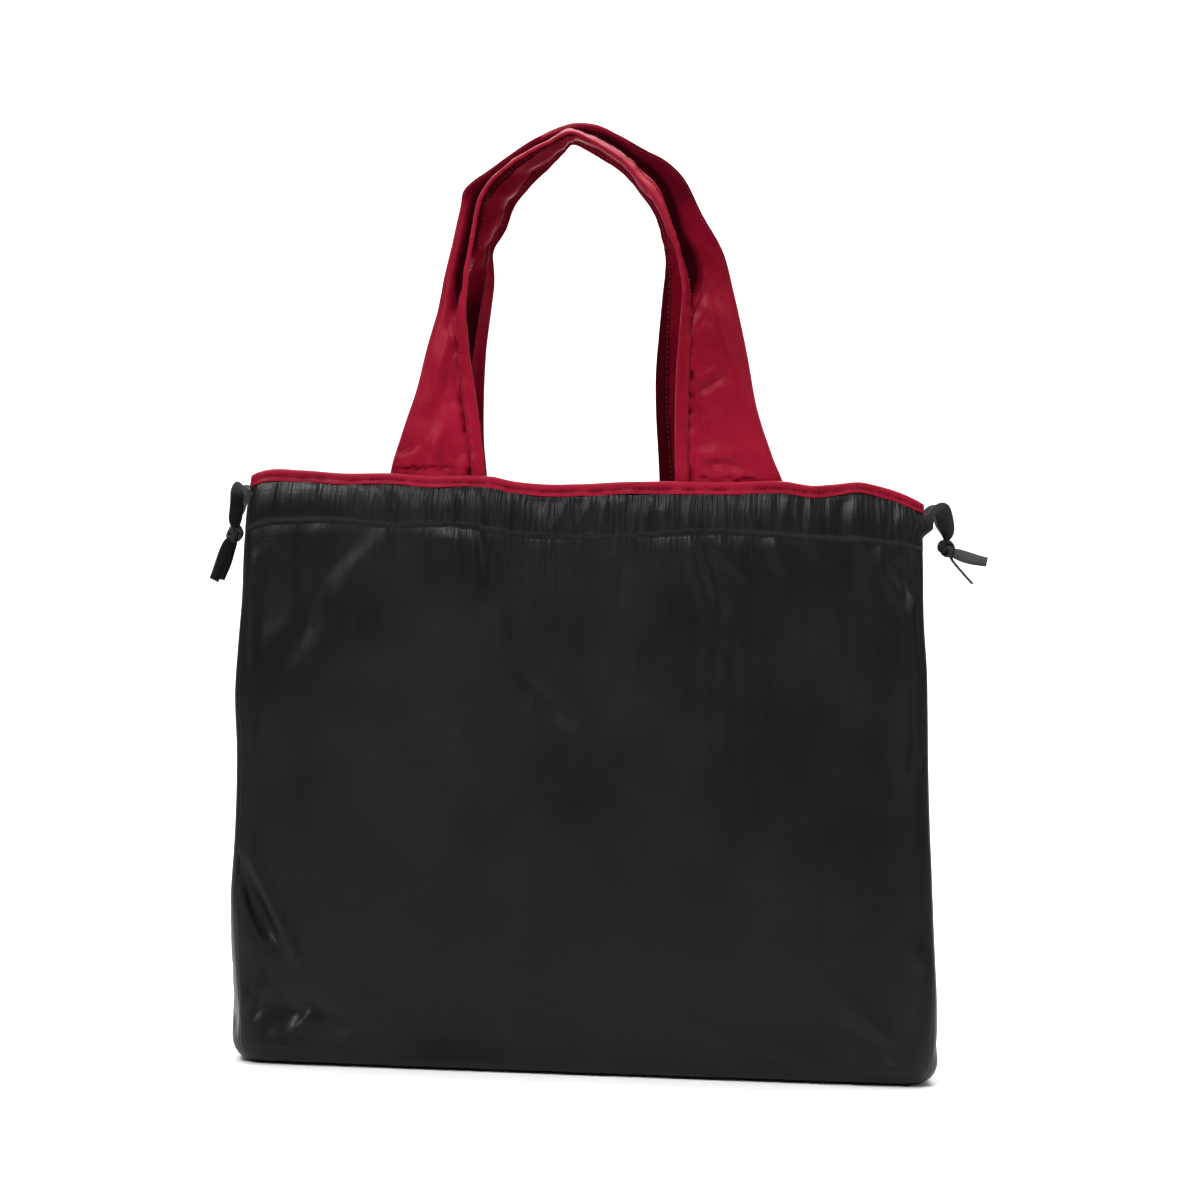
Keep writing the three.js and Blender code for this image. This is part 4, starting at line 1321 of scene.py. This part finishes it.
def handle_pieces(side):
    """A handle's strap, the hem along its inner edge, and their threads."""
    P, width, s, deep = handle_grid(side)
    # painted shade and shadow on the strap's outer and inner faces
    marks = ("painted_shade", facing_out(deep[0], side), facing_out(deep[1], side))
    strap = cloth_sheet(f"{side}_strap", facing_out(P, side), HANDLE_CLOTH, RED, marks=marks)
    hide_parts(f"{side}_handle")
    bend_with(strap)

    # the hem: a band of cloth turned round the inner edge
    out = facing_out(grid_normals(facing_out(P, side)), side)
    lift = HANDLE_CLOTH / 2 + 0.4
    section = [(HEM * (1 - w), lift) for w in np.linspace(0, 1, 6)[:-1]]
    section += [(-lift * 0.7 * math.sin(a), lift * math.cos(a))
                for a in np.linspace(0, math.pi, 6)]
    section += [(HEM * w, -lift) for w in np.linspace(0, 1, 6)[1:]]
    edge_out = unit(P[:, -1] - P[:, -3])
    i, rows = np.arange(len(s)), []
    for back, height in section:  # how far in from the edge, and how far off the cloth
        where = np.clip(1 - max(back, 0) / width, 0, 1) * (HANDLE_ACROSS - 1)
        k = np.clip(where.astype(int), 0, HANDLE_ACROSS - 2)
        f = (where - k)[:, None]
        place = P[i, k] * (1 - f) + P[i, k + 1] * f
        normal = unit(out[i, k] * (1 - f) + out[i, k + 1] * f)
        rows.append(place + normal * height + edge_out * max(-back, 0))
    section_lines = np.array(rows).transpose(1, 0, 2)
    H = facing_out(section_lines, side)
    x, z = H[..., 0], H[..., 2]
    # painted shade on the hem's turned-under side high up, and on the back hem a painted shadow
    # low on the right run
    under = facing_out(np.arange(len(section))[None] > 8, side) * smooth(z, 470, 500)
    if side == FRONT:
        hidden = 0.85 * under
    else:
        hidden = np.maximum(0.9 * (1 - smooth(z, 480, 530)) * smooth(x, -20, 20), 0.5 * under)
    hem = cloth_sheet(f"{side}_strap_hem", H, 0.55, RED, marks=("painted_shade", hidden, hidden))
    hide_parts(f"{side}_handle_hem")
    bend_with(hem)

    # the hem's seam shows on both faces, and one more row runs by the outer edge
    H = section_lines
    for name, column, face in (("outer", 0, 1), ("inner", len(section) - 1, -1)):
        where = H[:, column] + unit(H[:, column + face] - H[:, column]) * 0.9
        normal = out[:, -6] * face
        thread = stitches(
            f"{side}_strap_thread_{name}", (where + normal * 0.32)[6:-6], normal[6:-6],
            RED_THREAD, pitch=3.1, length=2.0, radius=0.33)
        bend_with(thread)
    normal = out[:, 1]
    edge = P[:, 0] + unit(P[:, 2] - P[:, 0]) * 2.2 + normal * (HANDLE_CLOTH / 2)
    thread = stitches(f"{side}_strap_thread_edge", edge[6:-6], normal[6:-6], RED_THREAD,
                      pitch=2.9, length=2.1, radius=0.2)
    bend_with(thread)


for name in (FRONT, BACK):
    handle_pieces(name)


FOOT_HEIGHTS = (314.5, 342.5)


def strap_foot(side, end, low_x, high_x):
    """The last of a handle, sewn flat inside the channel with a box and one diagonal."""
    z = np.linspace(*FOOT_HEIGHTS, 15)
    x = np.linspace(low_x, high_x, 29)
    y = curve(HALF_DEPTH, z) - 4.0 - 1.3 * (1 - smooth(z, 334, 342))
    P = np.stack(np.broadcast_arrays(x[None], OUTWARD[side] * y[:, None], z[:, None]), -1)
    P[..., 1] += 0.35 * noise(P[..., 0] / 8, P[..., 2] / 8, 241)
    P = facing_out(P, side)
    foot = cloth_sheet(f"{side}_{end}_strap_foot", P, HANDLE_CLOTH, RED)
    stand_for(foot, f"{side}_{end}_strap_end")
    N = grid_normals(P)
    rows, cols = P.shape[:2]
    corners = [(2, 2), (2, cols - 3), (rows - 3, cols - 3), (rows - 3, 2)]
    path, face = [], []
    for a, b in ((0, 1), (1, 2), (2, 3), (3, 0), (0, 2)):
        for f in np.linspace(0, 1, 14)[:-1]:
            r = corners[a][0] * (1 - f) + corners[b][0] * f
            c = corners[a][1] * (1 - f) + corners[b][1] * f
            i, j = int(r), int(c)
            g, h = r - i, c - j
            i2, j2 = min(i + 1, rows - 1), min(j + 1, cols - 1)
            p = (P[i, j] * (1 - g) * (1 - h) + P[i2, j] * g * (1 - h)
                 + P[i, j2] * (1 - g) * h + P[i2, j2] * g * h)
            path.append(p - N[i, j] * (HANDLE_CLOTH / 2))
            face.append(-N[i, j])
    sew(f"{side}_{end}_strap_foot_thread", np.array(path), np.array(face), RED_THREAD,
        pitch=2.8, length=2.0, radius=0.2)


for side, table in HANDLES.items():
    strap_foot(side, LEFT, table[0][0], table[0][3])
    strap_foot(side, RIGHT, table[-1][3], table[-1][0])


# ---------------------------------------------------------------- light and floor
def make_stage():
    """A floor that curves up behind into a pale backdrop."""
    n = Nodes("pale_floor")
    place = n.add("ShaderNodeTexCoord").outputs["Object"]
    tone = n.noise(place, 3, 3)
    colour = n.mix(n.spread(tone, 0.3, 0.7, 0, 1), (0.86, 0.86, 0.86), (0.9, 0.9, 0.9))
    n.feed(n.shader, {"Base Color": colour, "Roughness": 0.9})
    reach, back, turn = 9000, 2200, 1500
    profile = [(-reach, 0), (back, 0)]
    profile += [(back + turn * math.sin(a), turn - turn * math.cos(a))
                for a in np.linspace(0.1, math.pi / 2, 16)]
    profile.append((back + turn, reach))
    x = np.linspace(-reach, reach, 13)
    P = np.array([[[a, y, z] for a in x] for y, z in profile])
    floor = mesh_object("floor", P.reshape(-1, 3), grid_quads(*P.shape[:2]), n.material)


def area_light(name, place, target, size, power, spread=180):
    data = bpy.data.lights.new(name, "AREA")
    data.shape, data.size = "SQUARE", size
    data.energy, data.spread = power, math.radians(spread)
    lamp = bpy.data.objects.new(name, data)
    bpy.context.scene.collection.objects.link(lamp)
    lamp.location = place
    lamp.rotation_euler = (Vector(target) - Vector(place)).to_track_quat("-Z", "Y").to_euler()


WORLD_LIGHT = 0.13


def make_lights():
    world = bpy.data.worlds.new("world")
    world.use_nodes = True
    sky = world.node_tree.nodes["Background"]
    sky.inputs["Color"].default_value = (1, 1, 1, 1)
    sky.inputs["Strength"].default_value = WORLD_LIGHT
    bpy.context.scene.world = world
    # place, what it points at, size in metres, watts, and spread in degrees
    area_light("key", (-0.8, -2.0, 2.0), (0, 0, 0.42), 0.7, 8.0, 60)
    area_light("fill", (2.0, -1.5, 1.2), (0, 0, 0.4), 0.9, 1.3, 70)
    area_light("top", (0.0, 0.9, 2.0), (0, 0.9, 0), 2.2, 54)
    area_light("backdrop", (0, 1.2, 3.0), (0, 3.6, 0.8), 4.0, 200)
    bpy.context.scene.view_settings.view_transform = "Standard"


make_stage()
make_lights()
